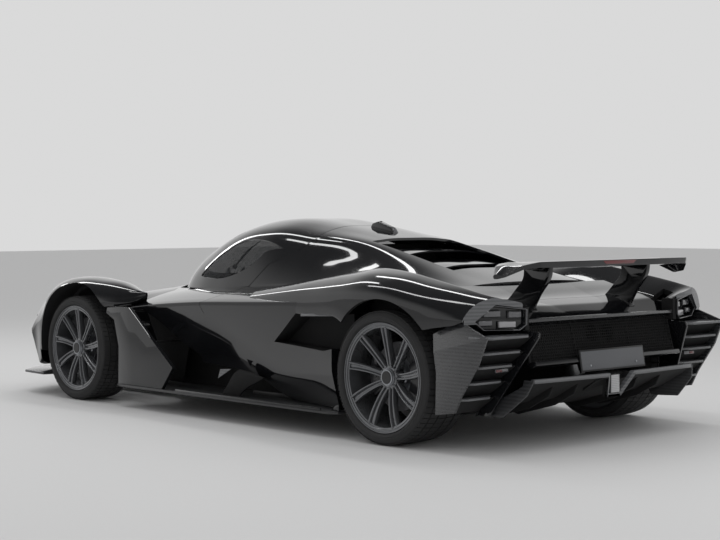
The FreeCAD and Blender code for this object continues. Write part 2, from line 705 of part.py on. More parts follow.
# Greenhouse: one envelope that the canopy and the engine cover share, parted at the seam
# columns: station, top z, y and z of three points down the side, foot y, foot z
GREENHOUSE = (
    (1088, 731, 50, 731, 100, 730, 150, 728, 190, 724),
    (980, 846, 140, 836, 260, 802, 340, 762, 390, 722),
    (874, 930, 200, 915, 350, 868, 430, 802, 480, 722),
    (657, 1046, 240, 1030, 390, 972, 490, 870, 562, 724),
    (410, 1124, 260, 1108, 415, 1044, 512, 922, 596, 732),
    (110, 1153, 270, 1135, 425, 1066, 522, 940, 603, 752),
    (-220, 1118, 250, 1104, 405, 1046, 508, 924, 604, 772),
    (-600, 1052, 225, 1045, 375, 1018, 492, 900, 608, 784),
    (-930, 980, 250, 972, 385, 947, 515, 865, COVER_EDGE - 8, 790),
    (-1220, 902, 285, 896, 420, 874, 545, 822, COVER_EDGE, 784),
    (-1570, 815, 290, 811, 455, 801, 565, 782, COVER_EDGE, 764),
)
# columns: station, z of the seam that leans back to the roof
SEAM_LINE = ((108, 640), (108, 752), (61, 800), (-12, 882), (-200, 968), (-283, 1040), (-283, 1300))


def greenhouse(skin, first=0, sink=0):
    """The solid inside the envelope, drawn in by a skin, its feet run straight down by a sink."""
    wires = []
    for w, top, y1, z1, y2, z2, y3, z3, foot_y, foot_z in GREENHOUSE[first:]:
        outer = [(0, top), (y1, z1), (y2, z2), (y3, z3), (foot_y, foot_z)]
        half = inset(outer, skin)
        if skin:
            half[-1] = (half[-1][0], half[-1][1] - 1)
            sink = max(sink, 60)
        if sink:
            half.append((half[-1][0], half[-1][1] - sink))
        wires.append(section(at(w), symmetric(half)))
    return panelled(wires)


def inset(half, amount):
    """A half outline moved inwards by an amount, corner by corner."""
    if not amount:
        return list(half)
    moved = []
    for i, (y, z) in enumerate(half):
        before = half[i - 1] if i else (-half[1][0], half[1][1])
        after = half[i + 1] if i + 1 < len(half) else (y + (y - before[0]), z + (z - before[1]))
        run = V(0, after[0] - before[0], after[1] - before[1])
        length = math.hypot(run.y, run.z)
        moved.append((max(y + run.z / length * amount, 0) if i else 0, z - run.y / length * amount))
    return moved


envelope = greenhouse(0)
canopy_shell = envelope.cut(greenhouse(size("canopy_skin"), 1))
cover_shell = greenhouse(0, 3, 40).cut(greenhouse(size("cover_skin"), 3, 80))
seam_region = side_prism(side(SEAM_LINE + ((1200, 1300), (1200, 640))), -1000, 1000)
behind_seam = side_prism(side([(w, z) for w, z in SEAM_LINE] + [(-2000, 1300), (-2000, 640)]), -1000, 1000)
behind_seam.translate(V(-SEAM, 0, 0))
canopy_shell = canopy_shell.common(seam_region)

# Canopy: a frame with windows cut right through, the panes in them, and hinge eyes on the pin at its nose
# columns: station, y of the windscreen's edge; then station, z of the side window
WINDSCREEN = ((1030, 70), (985, 215), (880, 318), (700, 362), (440, 392))
SIDE_WINDOW = ((678, 798), (560, 905), (348, 1008), (34, 1008), (-77, 975), (53, 955), (128, 885), (319, 806))


def canopy_shapes():
    """The canopy's frame and its three panes."""
    half = [(at(w), y) for w, y in WINDSCREEN]
    screen = plan_prism(half + [(x, -y) for x, y in reversed(half)], 740, 1300)
    window = side_prism(side(SIDE_WINDOW), 400, 800)
    cutters = [screen, window, mirrored(window)]
    panes = [canopy_shell.common(cutter) for cutter in cutters]
    frame = canopy_shell.cut(Part.makeCompound(cutters))
    reach = size("hinge_half_length")
    eye = drum((HINGE_X, -reach, HINGE_Z), inside(size("hinge_barrel"), PIN_SIDES), 2 * reach, PIN_SIDES)
    arm = box((at(1010), -reach, HINGE_Z - 3), (HINGE_X, reach, HINGE_Z + 9))
    arm = arm.fuse(side_prism(side([(1088, HINGE_Z + 4), (1088, HINGE_Z - 3), (1000, HINGE_Z - 3), (1000, 824)]), -reach, reach))
    bore = drum((HINGE_X, -2 * reach, HINGE_Z), size("hinge_pin") + size("hinge_clearance"), 4 * reach, PIN_SIDES)
    arm = arm.common(envelope.fuse(box((HINGE_X - 30, -reach, HINGE_Z - 3), (HINGE_X, reach, HINGE_Z + 9))))
    slots = [box((at(1121) - WALL - SEAM, s * (reach - 0.2), HINGE_Z - 60),
                 (at(1150), s * (reach + 14 + SEAM), HINGE_Z + 60)) for s in (-1, 1)]
    frame = frame.cut(Part.makeCompound(slots))
    frame = clean(frame.multiFuse([eye, arm.cut(screen)])).cut(bore)
    return frame, Part.makeCompound(panes)


canopy_frame, canopy_glass = canopy_shapes()
add("canopy_frame", canopy_frame)
add("canopy_glass", canopy_glass)

# columns: station, z of the wiper along the screen's middle
WIPER = ((1005, 824), (980, 847), (874, 931), (730, 1009))


def wiper_shape():
    """The wiper: a slim blade that follows the screen, with its spindle's cap."""
    lift = 4
    line = [(w, z + GAP) for w, z in WIPER] + [(w, z + lift + 7) for w, z in reversed(WIPER)]
    blade_part = side_prism(side(line), -7, 7)
    cap = rod((at(1000), 0, 820), (at(1000) + 9, 0, 845), 17)
    return clean(blade_part.fuse(cap)).cut(envelope)


add("wiper", wiper_shape())

# Engine cover: the shell behind the seam, with three rear-facing louvres stepped along its spine
# columns: station, z of the spine line over the louvres
SPINE = ((-600, 1052), (-930, 980), (-1220, 902), (-1570, 815))


def spine_z(station):
    """The height of the cover's spine at a station."""
    for (w0, z0), (w1, z1) in zip(SPINE, SPINE[1:]):
        if station >= w1 or w1 == SPINE[-1][0]:
            return z0 + (z1 - z0) * (station - w0) / (w1 - w0)


def engine_cover_shape():
    """The engine cover with its louvres, the mesh's frame and the mount of the roof camera."""
    shell = cover_shell.common(behind_seam)
    half, rise, skin = size("louvre_half_width"), size("louvre_rise"), size("cover_skin")
    first, pitch = -size("louvre_first"), size("louvre_pitch")
    stations = [first - i * pitch for i in range(int(size("louvre_count")))]
    end = stations[-1] - pitch * 0.42
    shell = shell.cut(box((at(end), -half, 500), (at(stations[0]), half, 1300)))
    drop = 16
    parts = []
    for i, start in enumerate(stations):
        stop = stations[i + 1] if i + 1 < len(stations) else end
        front = (start + 45, spine_z(start + 45) - rise - skin)
        low = (start - 20, spine_z(start - 20) - rise * 0.72)
        tail = (stop, spine_z(stop) - drop)
        slat = side_prism(side([front, low, tail, (tail[0], tail[1] - 8), (low[0], low[1] - 8), (front[0], front[1] - 8)]),
                          -half - 2, half + 2)
        cheek = side_prism(side([(start, spine_z(start) - drop), (tail[0], tail[1]), (tail[0], tail[1] - 8), low,
                                 (start, spine_z(start) - rise - skin)]), half - 2, half + 8)
        parts += [slat, cheek, mirrored(cheek)]
    return clean(shell.multiFuse(parts)).cut(sidepod).cut(mirrored(sidepod)).cut(deck)


# Rear deck: from the engine cover down to the tail's edge
# columns: station, z
DECK = ((-1571, 802), (-1750, 738), (-1900, 704), (-1985, 650), (-1985, 632), (-1895, 684), (-1750, 718), (-1571, 782))
deck = padded_plate("rear_deck", "XZ_Plane", [(bound_at(w), z) for w, z in DECK], EDGE_LINE * 2, 0, True)
engine_cover = engine_cover_shape()
add("engine_cover", engine_cover)

# columns: station, z of the camera's side
CAMERA = ((-318, 1092), (-340, 1124), (-395, 1134), (-500, 1098), (-530, 1060))
camera = side_prism(side(CAMERA), -22, 22).cut(envelope)
add("roof_camera", camera)

# Rear fenders
# columns: station, inner z, ridge offset, ridge z, outer offset, shoulder z, low z
REAR_FENDER = (
    (-225, 742, -60, 752, 40, 706, 650),
    (-570, 764, -50, 803, 92, 738, 650),
    (-820, 778, -45, 842, 122, 752, 636),
    (-1050, 786, -42, 873, 148, 770, 644),
    (-1250, 784, -40, 895, 163, 788, 560),
    (-1430, 776, -38, 882, 167, 788, 560),
    (-1650, 760, -34, 845, 163, 750, 590),
    (-1860, 730, -20, 808, 148, 705, 625),
    (-2000, 704, -24, 780, 126, 676, 640),
    (-2072, 738, -36, 766, 96, 668, 640),
)


def rear_fender_solid(skin):
    """The solid of the left rear fender, drawn in by a skin."""
    wires = []
    for w, inner_z, ridge, ridge_z, outer, shoulder_z, low in REAR_FENDER:
        y_in = COVER_EDGE + SEAM + skin
        y_out = REAR_TRACK + outer - skin
        y_ridge = REAR_TRACK + ridge
        deep = 200 if skin else 0
        wires.append(section(at(w), [
            (y_in, low - deep), (y_out - 4, low - deep), (y_out, (low + shoulder_z) / 2), (y_out - 8, shoulder_z - skin),
            (y_ridge + 0.6 * (y_out - y_ridge), shoulder_z + 0.62 * (ridge_z - shoulder_z) - skin),
            (y_ridge, ridge_z - skin), (y_in + 0.35 * (y_ridge - y_in), inner_z + 0.4 * (ridge_z - inner_z) - skin),
            (y_in, inner_z - skin)]))
    return panelled(wires)


def rear_fender_shape():
    """The left rear fender: a shell open below, with its wheel arch and the vent in its inner slope."""
    shell = rear_fender_solid(0)
    hollow = rear_fender_solid(size("fender_skin"))
    hollow = hollow.common(box((at(-1985), 0, 0), (at(-1010), 1100, 1000)))
    well = drum((REAR_AXLE, REAR_TRACK - 185, size("tyre_radius_rear")), REAR_WELL, 700, WELL_SIDES)
    vent = side_prism(side([(-1905, 700), (-1915, 760), (-1990, 742), (-1975, 700)]), COVER_EDGE - 20,
                      COVER_EDGE + SEAM + 95)
    return shell.cut(hollow).cut(well).cut(vent).cut(sidepod)


rear_fender = rear_fender_shape()
add("rear_fenders", both_sides(rear_fender))

# Rear corners: a side panel behind each rear wheel, horizontal slats and an inner strake
# columns: station, z
CORNER_PANEL = ((-1790, 598), (-1964, 658), (-2146, 584), (-2089, 452), (-1978, 292), (-1933, 208), (-1812, 190),
                (-1822, 396), (-1815, 500))
STRAKE = ((-1990, 600), (-2154, 594), (-2160, 570), (-1955, 175), (-1875, 175))
STRAKE_LEAN = 0.336
# columns: z of the slat, station of its rear edge
SLATS = ((585, -2150), (510, -2118), (441, -2086), (360, -2037), (280, -1990))


def rear_corner_shape():
    """The left rear corner."""
    panel_y = REAR_TRACK + 135
    thick = size("corner_panel")
    panel = side_prism(side(CORNER_PANEL), panel_y - thick, panel_y)
    top_y = size("diffuser_half_width") - 50
    lean = [(at(w), top_y - thick + (STRAKE[0][1] - z) * STRAKE_LEAN, z) for w, z in STRAKE]
    strake = Part.Face(outline(lean)).extrude(V(0, thick, 0))
    slats = []
    for z, rear in SLATS:
        inner_y = top_y + (STRAKE[0][1] - z) * STRAKE_LEAN - 5
        plan = [(at(rear + 62), inner_y), (at(rear), inner_y + 72), (at(rear), panel_y - 42), (at(rear + 34), panel_y - 4),
                (at(rear + 130), panel_y - 4), (at(rear + 135), inner_y)]
        slats.append(plan_prism(plan, z - size("slat_thickness"), z))
    return clean(panel.multiFuse([strake] + slats)).cut(rear_fender)


rear_corner = rear_corner_shape()
add("rear_corners", both_sides(rear_corner))

# Tail frame: the bars above and below the mesh, and the mesh between the lamps
# columns: station, z
TOP_BAR = ((-1965, 631), (-1986, 649), (-2064, 658), (-2074, 640), (-2040, 618))
LOW_BAR = ((-2050, 418), (-2050, 436), (-2120, 448), (-2128, 428), (-2100, 412))
MESH = ((-2022, 640), (-2034, 640), (-2090, 424), (-2078, 424))


def tail_frame_shape():
    """The bars and the mesh of the tail as one grille."""
    half = size("diffuser_half_width") - 50 - size("corner_panel") - GAP
    top = side_prism(side(TOP_BAR), -half, half)
    low = side_prism(side(LOW_BAR), -half, half)
    mesh = side_prism(side(MESH), -half, half)
    columns, rows = int(size("mesh_columns")), 3
    holes = []
    pitch = 2 * (half - 20) / columns
    for i in range(columns):
        for j in range(rows):
            y = -half + 20 + (i + 0.5) * pitch
            z = 452 + j * 60
            holes.append(box((at(-2130), y - pitch / 2 + 4, z), (at(-1960), y + pitch / 2 - 4, z + 51)))
    mesh = mesh.cut(Part.makeCompound(holes))
    return clean(top.multiFuse([low, mesh])).cut(deck)


tail_frame = tail_frame_shape()
add("tail_frame", tail_frame)

# Diffuser: a ramp with side fences, fins and the notch for the rain lamp
# columns: station, z of the ramp's underside
RAMP = ((-1400, FLOOR_TOP - 22), (-1700, 156), (-1950, 228), (-2150, 340))


# columns: station, z of the fence that leans out at each end
FENCE = ((-1830, 200), (-1960, 250), (-2100, 330), (-2100, 360), (-2165, 360), (-2140, 285), (-2020, 175), (-1840, 165))
FENCE_LEAN = 0.36


def rain_lamp_block(gap):
    """The slot of the rain lamp in the diffuser's middle, or with a gap the lamp that stands in it."""
    return box((at(-2150), -38 + gap, 252 + gap), (at(-2118) - gap, 38 - gap, 352 - gap))


def diffuser_shape():
    """The diffuser under the tail."""
    half = size("diffuser_half_width")
    thick = size("diffuser_plate")
    lower = [(w, z) for w, z in RAMP]
    ramp = side_prism(side(lower + [(w + 4, z + thick) for w, z in reversed(lower)]), -half, half)
    lip = side_prism(side([(-2128, 320), (-2150, 340), (-2162, 362), (-2120, 362), (-2110, 340)]), -half, half)
    fins = []
    for y in (430, 235):
        fin = side_prism(side([(-1600, FLOOR_TOP + 10), (-1700, 162), (-1950, 236), (-2112, 326), (-2080, 262), (-1950, 192),
                               (-1700, FLOOR_TOP - 16)]), y, y + 12)
        fins += [fin, mirrored(fin)]
    lean = [(at(w), half - 12 + (360 - z) * FENCE_LEAN, z) for w, z in FENCE]
    fence = Part.Face(outline(lean)).extrude(V(0, 12, 0))
    fins += [fence, mirrored(fence)]
    notch = Part.Face(outline([(at(-1900), -62, 100), (at(-1900), 62, 100), (at(-1900), 30, 330), (at(-1900), -30, 330)]))
    notch = notch.extrude(V(at(-2300) - at(-1900), 0, 0))
    block = side_prism(side([(-2040, 262), (-2120, 322), (-2201, 340), (-2201, 366), (-2060, 366)]), -130, 130)
    body = clean(ramp.multiFuse([lip, block] + fins)).cut(rain_lamp_block(0))
    return body.cut(tail_frame).cut(rear_corner).cut(mirrored(rear_corner))


diffuser = diffuser_shape()
add("diffuser", diffuser)

# Wing and its pylons
# columns: y, station of the nose, station of the tail, z of the tail
WING = ((0, -1862, -2177, 930), (420, -1862, -2177, 930), (560, -1868, -2168, 928), (690, -1905, -2122, 906),
        (764, -1958, -2072, 876))


def wing_shape():
    """The rear wing, its tips curved down."""
    half_wires = []
    for y, nose_w, tail_w, z in WING:
        chord = at(nose_w) - at(tail_w)
        thick = size("wing_thickness") * (1 if y < 600 else 0.7)
        lead = z - 0.10 * chord
        half_wires.append([(at(tail_w), y, z), (at(tail_w) + 0.45 * chord, y, z - 0.03 * chord + 2),
                           (at(nose_w) - 0.16 * chord, y, lead + thick * 0.55), (at(nose_w), y, lead + 4),
                           (at(nose_w) - 0.03 * chord, y, lead - 8), (at(nose_w) - 0.22 * chord, y, lead - thick * 0.45),
                           (at(tail_w) + 0.40 * chord, y, z - 0.055 * chord - thick * 0.4), (at(tail_w), y, z - 9)])
    half = panelled([[V(*p) for p in points] for points in half_wires])
    return clean(half.fuse(mirrored(half)))


wing = wing_shape()
add("rear_wing", wing)

# columns: station, z
PYLON = ((-1735, 700), (-1925, 660), (-2062, 915), (-1880, 905))


def pylon_shape():
    """The left wing pylon."""
    thick = size("pylon_thickness")
    middle = size("pylon_half_spacing")
    pylon = side_prism(side(PYLON), middle - thick / 2, middle + thick / 2)
    above = side_prism(side([(-1700, 1000), (-2300, 1000), (-2300, 940), (-1700, 940)]), 0, 800)
    pylon = pylon.cut(wing).cut(deck).cut(above)
    return max(pylon.Solids, key=lambda solid: solid.Volume)


pylon = pylon_shape()
add("wing_pylons", both_sides(pylon))

# Lamps
# columns: y and z of the lamp's six corners, seen from behind
TAIL_LAMP = ((606, 712), (608, 630), (646, 601), (850, 606), (903, 651), (797, 736))


def tail_lamp_shape():
    """The left tail lamp, a six-cornered block between the fender and the slats."""
    front = [V(at(-1985), y, z) for y, z in TAIL_LAMP]
    rear = [V(at(-2088 + (y - 606) * 0.31), y, z) for y, z in TAIL_LAMP]
    centre = sum((y for y, z in TAIL_LAMP), 0) / 6, sum((z for y, z in TAIL_LAMP), 0) / 6
    pocket = [(centre[0] + (y - centre[0]) * 0.86, centre[1] + (z - centre[1]) * 0.80) for y, z in TAIL_LAMP]
    floor = [V(at(-2060 + (y - 606) * 0.31), y, z) for y, z in pocket]
    mouth = [V(at(-2120 + (y - 606) * 0.31), y, z) for y, z in pocket]
    lamp = panelled([front, rear]).cut(panelled([floor, mouth]))
    return lamp.cut(rear_fender).cut(rear_corner).cut(tail_frame)


tail_lamp = tail_lamp_shape()
add("lamps", Part.makeCompound([headlamp_block(GAP), mirrored(headlamp_block(GAP)), tail_lamp, mirrored(tail_lamp),
                                rain_lamp_block(GAP)]))
plate = doc.addObject("Part::Box", "number_plate")
plate.Label = "number_plate"
plate.setExpression("Length", "sizes.plate_thickness")
plate.setExpression("Width", "sizes.plate_width")
plate.setExpression("Height", "sizes.plate_height")
doc.recompute()
# the plate leans on the low bar's rearmost edge, a little over half its height below its top
lean = FreeCAD.Rotation(V(0, 1, 0), size("plate_lean"))
touch = lean.multVec(V(size("plate_thickness") + GAP, size("plate_width") / 2, 0.48 * size("plate_height")))
plate.Placement = FreeCAD.Placement(V(at(LOW_BAR[3][0]), 0, LOW_BAR[3][1]) - touch, lean)
pieces["number_plate"] = plate



def bound_box(name, corner, lengths):
    """A box whose corner and lengths are bound to the sheet."""
    block = doc.addObject("Part::Box", name)
    for key, value in zip(("Length", "Width", "Height"), lengths):
        block.setExpression(key, bound(value).text)
    for key, value in zip("xyz", corner):
        block.setExpression(f"Placement.Base.{key}", bound(value).text)
    return block


# The engine and its gearbox as one plain block
ENGINE_FRONT = bound_at(-450)
ENGINE_LOW = bound("floor_height") + "floor_thickness"
GEARBOX_END = REAR_LINE - "arm_spread" - 60
engine_body = bound_box("engine_body", (ENGINE_FRONT - "engine_length", bound("engine_width") / -2, ENGINE_LOW),
                        ("engine_length", "engine_width", "engine_height"))
gearbox = bound_box("gearbox", (GEARBOX_END, bound("gearbox_width") / -2, ENGINE_LOW),
                    (ENGINE_FRONT - "engine_length" - GEARBOX_END + 1, "gearbox_width", "gearbox_height"))
engine_and_gearbox = doc.addObject("Part::Fuse", "engine_and_gearbox")
engine_and_gearbox.Base = engine_body
engine_and_gearbox.Tool = gearbox
ramp_top = [(w, z + size("diffuser_plate") + 2) for w, z in RAMP]
under_ramp = doc.addObject("Part::Feature", "under_ramp")
under_ramp.Shape = side_prism(side([(RAMP[0][0], 0)] + ramp_top + [(RAMP[-1][0], 0)]), -size("engine_width"),
                              size("engine_width"))
engine_block = doc.addObject("Part::Cut", "engine_block")
engine_block.Label = "engine_block"
engine_block.Base = engine_and_gearbox
engine_block.Tool = under_ramp
doc.recompute()
pieces["engine_block"] = engine_block
engine = engine_block.Shape

arm_sets = []
for end, carrier in (("front", nose), ("rear", engine)):
    for arm in arms_shape(end):
        arm = arm.cut(carrier)
        arm = max(arm.Solids, key=lambda solid: solid.Volume)
        arm_sets += [arm, mirrored(arm)]
add("suspension_arms", Part.makeCompound(arm_sets))
front_knuckle = knuckle_shape("front")
add("knuckle_left", front_knuckle)
add("knuckle_right", mirrored(front_knuckle))
add("rear_knuckles", both_sides(knuckle_shape("rear")))

# columns: station, z of the tips
EXHAUST_Z = 545


def exhaust_shape():
    """The two exhaust tips that look out through the mesh."""
    radius, wall = size("exhaust_radius"), size("exhaust_wall")
    tips = []
    for y in (-size("exhaust_half_spacing"), size("exhaust_half_spacing")):
        outer = rod((REAR_AXLE - size("arm_spread") - 60, y, EXHAUST_Z - 120), (at(-2000), y, EXHAUST_Z), radius, 12)
        bore = rod((REAR_AXLE - size("arm_spread") - 200, y, EXHAUST_Z - 90), (at(-2010), y, EXHAUST_Z + 1),
                   radius - wall, 12)
        tips.append(outer.cut(bore).cut(engine))
    return Part.makeCompound(tips)


add("exhaust_tips", exhaust_shape())

# Cabin
# columns: station, z along the seat's side, front edge first
SEAT = ((330, 250), (300, 292), (20, 262), (-60, 275), (-250, 640), (-330, 860), (-395, 870), (-340, 600), (-190, 240),
        (-60, 184), (260, 184))


def seat_shape():
    """The left seat: a bucket with raised sides and a headrest."""
    width, middle = size("seat_width"), size("seat_middle")
    body = side_prism(side(SEAT), middle - width / 2, middle + width / 2)
    lap = side_prism(side([(345, 256), (300, 300), (20, 272), (-52, 284), (-244, 640), (-150, 640), (0, 420), (345, 420)]),
                     middle - width / 2 + 45, middle + width / 2 - 45)
    wings = side_prism(side([(250, 300), (40, 330), (-100, 480), (-190, 660), (-250, 640), (-60, 275), (20, 262),
                             (300, 292)]), middle - width / 2, middle + width / 2)
    head_low = box((at(-420), middle - width / 2 - 1, 665), (at(-200), middle - 95, 900))
    head_high = box((at(-420), middle + 95, 665), (at(-200), middle + width / 2 + 1, 900))
    return clean(body.fuse(wings)).cut(lap).cut(head_low).cut(head_high)


seat = seat_shape()
add("seats", both_sides(seat.cut(tub)))

# columns: station, z
DASHBOARD = ((780, 600), (780, 700), (700, 716), (560, 706), (520, 660), (560, 610))
dashboard = padded_plate("dashboard", "XZ_Plane", [(bound_at(w), z) for w, z in DASHBOARD],
                         (TUB_LINE - "tub_wall" - "seat_gap") * 2, 0, True)


def steering_wheel_shape():
    """The steering wheel with its column, on the left."""
    ring_points = [(size("steering_wheel_radius") + 13 * math.cos(math.tau * k / 6), 13 * math.sin(math.tau * k / 6))
                   for k in range(6)]
    ring = turned(ring_points, 16)
    ring.rotate(V(0, 0, 0), V(1, 0, 0), 90)
    bar = box((-size("steering_wheel_radius"), -22, -8), (size("steering_wheel_radius"), 22, 8))
    hub = rod((0, 0, -8), (0, 0, 22), 42, 12)
    column = rod((0, 0, 0), (0, 0, 240), 20)
    wheel = clean(ring.multiFuse([bar, hub, column]))
    wheel.Placement = FreeCAD.Placement(V(at(430), size("seat_middle"), 600), FreeCAD.Rotation(V(0, 1, 0), 72))
    return wheel.cut(dashboard)


steering = steering_wheel_shape()
add("steering_wheel", max(steering.Solids, key=lambda solid: solid.Volume))

doc.recompute()


def check():
    """Stops the build where an object failed or a sub-part is not valid."""
    for thing in doc.Objects:
        if "Invalid" in thing.State or "Error" in thing.State:
            raise RuntimeError(f"{thing.Name} is {thing.State}")
    for name, piece in pieces.items():
        if piece.Shape.isNull() or not piece.Shape.isValid():
            raise RuntimeError(f"{name} has no valid shape")


check()
os.makedirs("parts", exist_ok=True)
for name, piece in pieces.items():
    piece.Shape.exportStep(f"parts/{name}.step")
    print(name, len(piece.Shape.Solids), round(piece.Shape.Volume / 1e6, 3))
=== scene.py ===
"""A two-seat closed-cockpit hypercar in gloss black and carbon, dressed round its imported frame.

Every length is in metres and every place is in the frame of the car: +X forward, +Y left, +Z up, with the
origin on the ground in the middle of the car. Stations in the tables are millimetres from the middle of the
wheelbase, as in the car's own drawings.
"""
from __future__ import annotations

import json
import logging
import math
from dataclasses import dataclass, field
from enum import Enum
from typing import Callable, Iterable, Sequence

import bmesh
import bpy
from mathutils import Matrix, Quaternion, Vector

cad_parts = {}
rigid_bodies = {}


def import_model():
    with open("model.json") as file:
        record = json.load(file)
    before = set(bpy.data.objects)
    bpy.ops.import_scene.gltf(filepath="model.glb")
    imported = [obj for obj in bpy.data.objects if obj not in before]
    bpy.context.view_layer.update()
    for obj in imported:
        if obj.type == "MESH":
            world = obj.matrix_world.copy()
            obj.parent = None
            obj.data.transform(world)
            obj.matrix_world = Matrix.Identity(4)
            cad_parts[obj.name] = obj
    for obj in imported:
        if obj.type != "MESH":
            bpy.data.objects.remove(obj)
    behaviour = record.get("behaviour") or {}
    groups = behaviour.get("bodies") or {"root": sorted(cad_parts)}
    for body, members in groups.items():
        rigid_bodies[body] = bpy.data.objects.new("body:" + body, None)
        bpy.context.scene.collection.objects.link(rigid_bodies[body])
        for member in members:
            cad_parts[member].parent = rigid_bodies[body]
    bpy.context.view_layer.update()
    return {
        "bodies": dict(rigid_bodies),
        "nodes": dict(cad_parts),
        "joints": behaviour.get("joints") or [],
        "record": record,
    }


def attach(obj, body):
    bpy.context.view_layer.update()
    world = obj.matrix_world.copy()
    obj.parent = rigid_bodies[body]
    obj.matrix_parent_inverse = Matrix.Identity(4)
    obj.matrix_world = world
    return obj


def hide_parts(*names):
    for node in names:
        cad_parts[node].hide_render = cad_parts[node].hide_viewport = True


Piece = bpy.types.Object
Socket = bpy.types.NodeSocket
Pairs = Sequence[tuple[float, float]]
LOG = logging.getLogger("hypercar")
MM = 0.001
MERGE = 0.00002  # vertices nearer than this are one
MIDDLE = 0.112  # how far the wheelbase's middle lies ahead of the frame's origin, with its sign turned
FRONT_AXLE = Vector((1.313, 0.845, 0.3305))
REAR_AXLE = Vector((-1.537, 0.830, 0.345))
HINGE = Vector((0.988, 0.0, 0.733))
ORIGIN = Vector((0.0, 0.0, 0.0))


def place(station: float) -> float:
    """Turn a station into the frame's X."""
    return station * MM - MIDDLE


class Side(Enum):
    """The two sides of the car."""

    LEFT = 1
    RIGHT = -1

    @property
    def label(self) -> str:
        """The side's name as it stands in the names of pieces."""
        return self.name.lower()


# Shader building


class Term:
    """A shader socket with arithmetic: an expression on terms adds its Math nodes."""

    def __init__(self, painter: "Painter", socket: Socket) -> None:
        """Wrap one output socket of a painter's tree."""
        self.painter = painter
        self.socket = socket

    def _math(self, operation: str, *values: "Term | float") -> "Term":
        """Add one Math node on the values."""
        return self.painter.node("ShaderNodeMath", {"operation": operation}, dict(enumerate(values)))

    def __add__(self, other: "Term | float") -> "Term":
        """Return the sum."""
        return self._math("ADD", self, other)

    __radd__ = __add__

    def __sub__(self, other: "Term | float") -> "Term":
        """Return the difference."""
        return self._math("SUBTRACT", self, other)

    def __rsub__(self, other: float) -> "Term":
        """Return the difference with the term last."""
        return self._math("SUBTRACT", other, self)

    def __mul__(self, other: "Term | float") -> "Term":
        """Return the product."""
        return self._math("MULTIPLY", self, other)

    __rmul__ = __mul__

    def __truediv__(self, other: "Term | float") -> "Term":
        """Return the quotient."""
        return self._math("DIVIDE", self, other)

    def __mod__(self, other: float) -> "Term":
        """Return the remainder, never below zero."""
        return self._math("FLOORED_MODULO", self, other)

    def __lt__(self, other: "Term | float") -> "Term":
        """Return 1 where the term is the smaller."""
        return self._math("LESS_THAN", self, other)

    def __gt__(self, other: "Term | float") -> "Term":
        """Return 1 where the term is the larger."""
        return self._math("GREATER_THAN", self, other)

    def __abs__(self) -> "Term":
        """Return the size without its sign."""
        return self._math("ABSOLUTE", self)

    def __pow__(self, other: float) -> "Term":
        """Return the power."""
        return self._math("POWER", self, other)

    def floor(self) -> "Term":
        """Return the whole number below."""
        return self._math("FLOOR", self)

    def clamp(self) -> "Term":
        """Return the term held between 0 and 1."""
        return self.painter.node("ShaderNodeClamp", {}, {0: self})

    def blend(self, low: Sequence[float], high: Sequence[float]) -> "Term":
        """Mix two colours by this term."""
        values = {"Factor": self, "A": (*low, 1.0), "B": (*high, 1.0)}
        return self.painter.node("ShaderNodeMix", {"data_type": "RGBA", "clamp_factor": True}, values, out=2)


class Tree:
    """A node tree that is built in the script."""

    def __init__(self, tree: bpy.types.NodeTree) -> None:
        """Take an empty tree."""
        self.tree = tree

    def feed(self, socket: Socket, value: object) -> None:
        """Set or link an input.

        Args:
            socket: The input.
            value: A number, a colour, a material, a term or an output.
        """
        value = getattr(value, "socket", value)
        if isinstance(value, Socket):
            self.tree.links.new(value, socket)
        else:
            socket.default_value = value

    def add(self, kind: str, settings: dict, values: dict, out: int | str = 0) -> Socket:
        """Add one node.

        Args:
            kind: The node's type.
            settings: Its properties, set first.
            values: Numbers, colours, terms or outputs by the input's number or name.
            out: The output that is returned.

        Returns:
            The chosen output.
        """
        made = self.tree.nodes.new(kind)
        for key, value in settings.items():
            setattr(made, key, value)
        for key, value in values.items():
            self.feed(made.inputs[key] if isinstance(key, int) else next(
                s for s in made.inputs if s.name == key and s.enabled), value)
        return made.outputs[out]


class Painter(Tree):
    """The node tree of one material or of the world, with its shader."""

    def __init__(self, owner: bpy.types.Material | bpy.types.World, shader: str = "BSDF_PRINCIPLED") -> None:
        """Take a new material or world and find its shader."""
        owner.use_nodes = True
        super().__init__(owner.node_tree)
        self.owner = owner
        self.shader = next(n for n in self.tree.nodes if n.type == shader)

    def node(self, kind: str, settings: dict, values: dict, out: int | str = 0) -> Term:
        """Add one node and return its chosen output as a term."""
        return Term(self, self.add(kind, settings, values, out))

    def set(self, **values: object) -> None:
        """Set or link the shader's sockets, named with underscores for spaces."""
        for key, value in values.items():
            self.feed(self.shader.inputs[key.replace("_", " ")], value)

    def position(self) -> Term:
        """Return the point in the frame of the car."""
        return self.node("ShaderNodeTexCoord", {}, {}, out="Object")

    def split(self, vector: Term) -> tuple[Term, Term, Term]:
        """Take a vector apart.

        Args:
            vector: The vector.

        Returns:
            Its three numbers.
        """
        first = self.node("ShaderNodeSeparateXYZ", {}, {0: vector})
        outputs = first.socket.node.outputs
        return first, Term(self, outputs[1]), Term(self, outputs[2])

    def noise(self, scale: float, detail: float = 2.0, stretch: Sequence[float] = (1, 1, 1)) -> Term:
        """Return a soft random field over the piece."""
        point = self.node("ShaderNodeMapping", {}, {"Vector": self.position(), "Scale": tuple(stretch)})
        return self.node("ShaderNodeTexNoise", {}, {"Vector": point, "Scale": scale, "Detail": detail})

    def bump(self, height: Term, strength: float, distance: float) -> None:
        """Feed a height into the shader's normal."""
        normal = self.node("ShaderNodeBump", {}, {"Height": height, "Strength": strength,
                                                  "Distance": distance})
        self.set(Normal=normal)


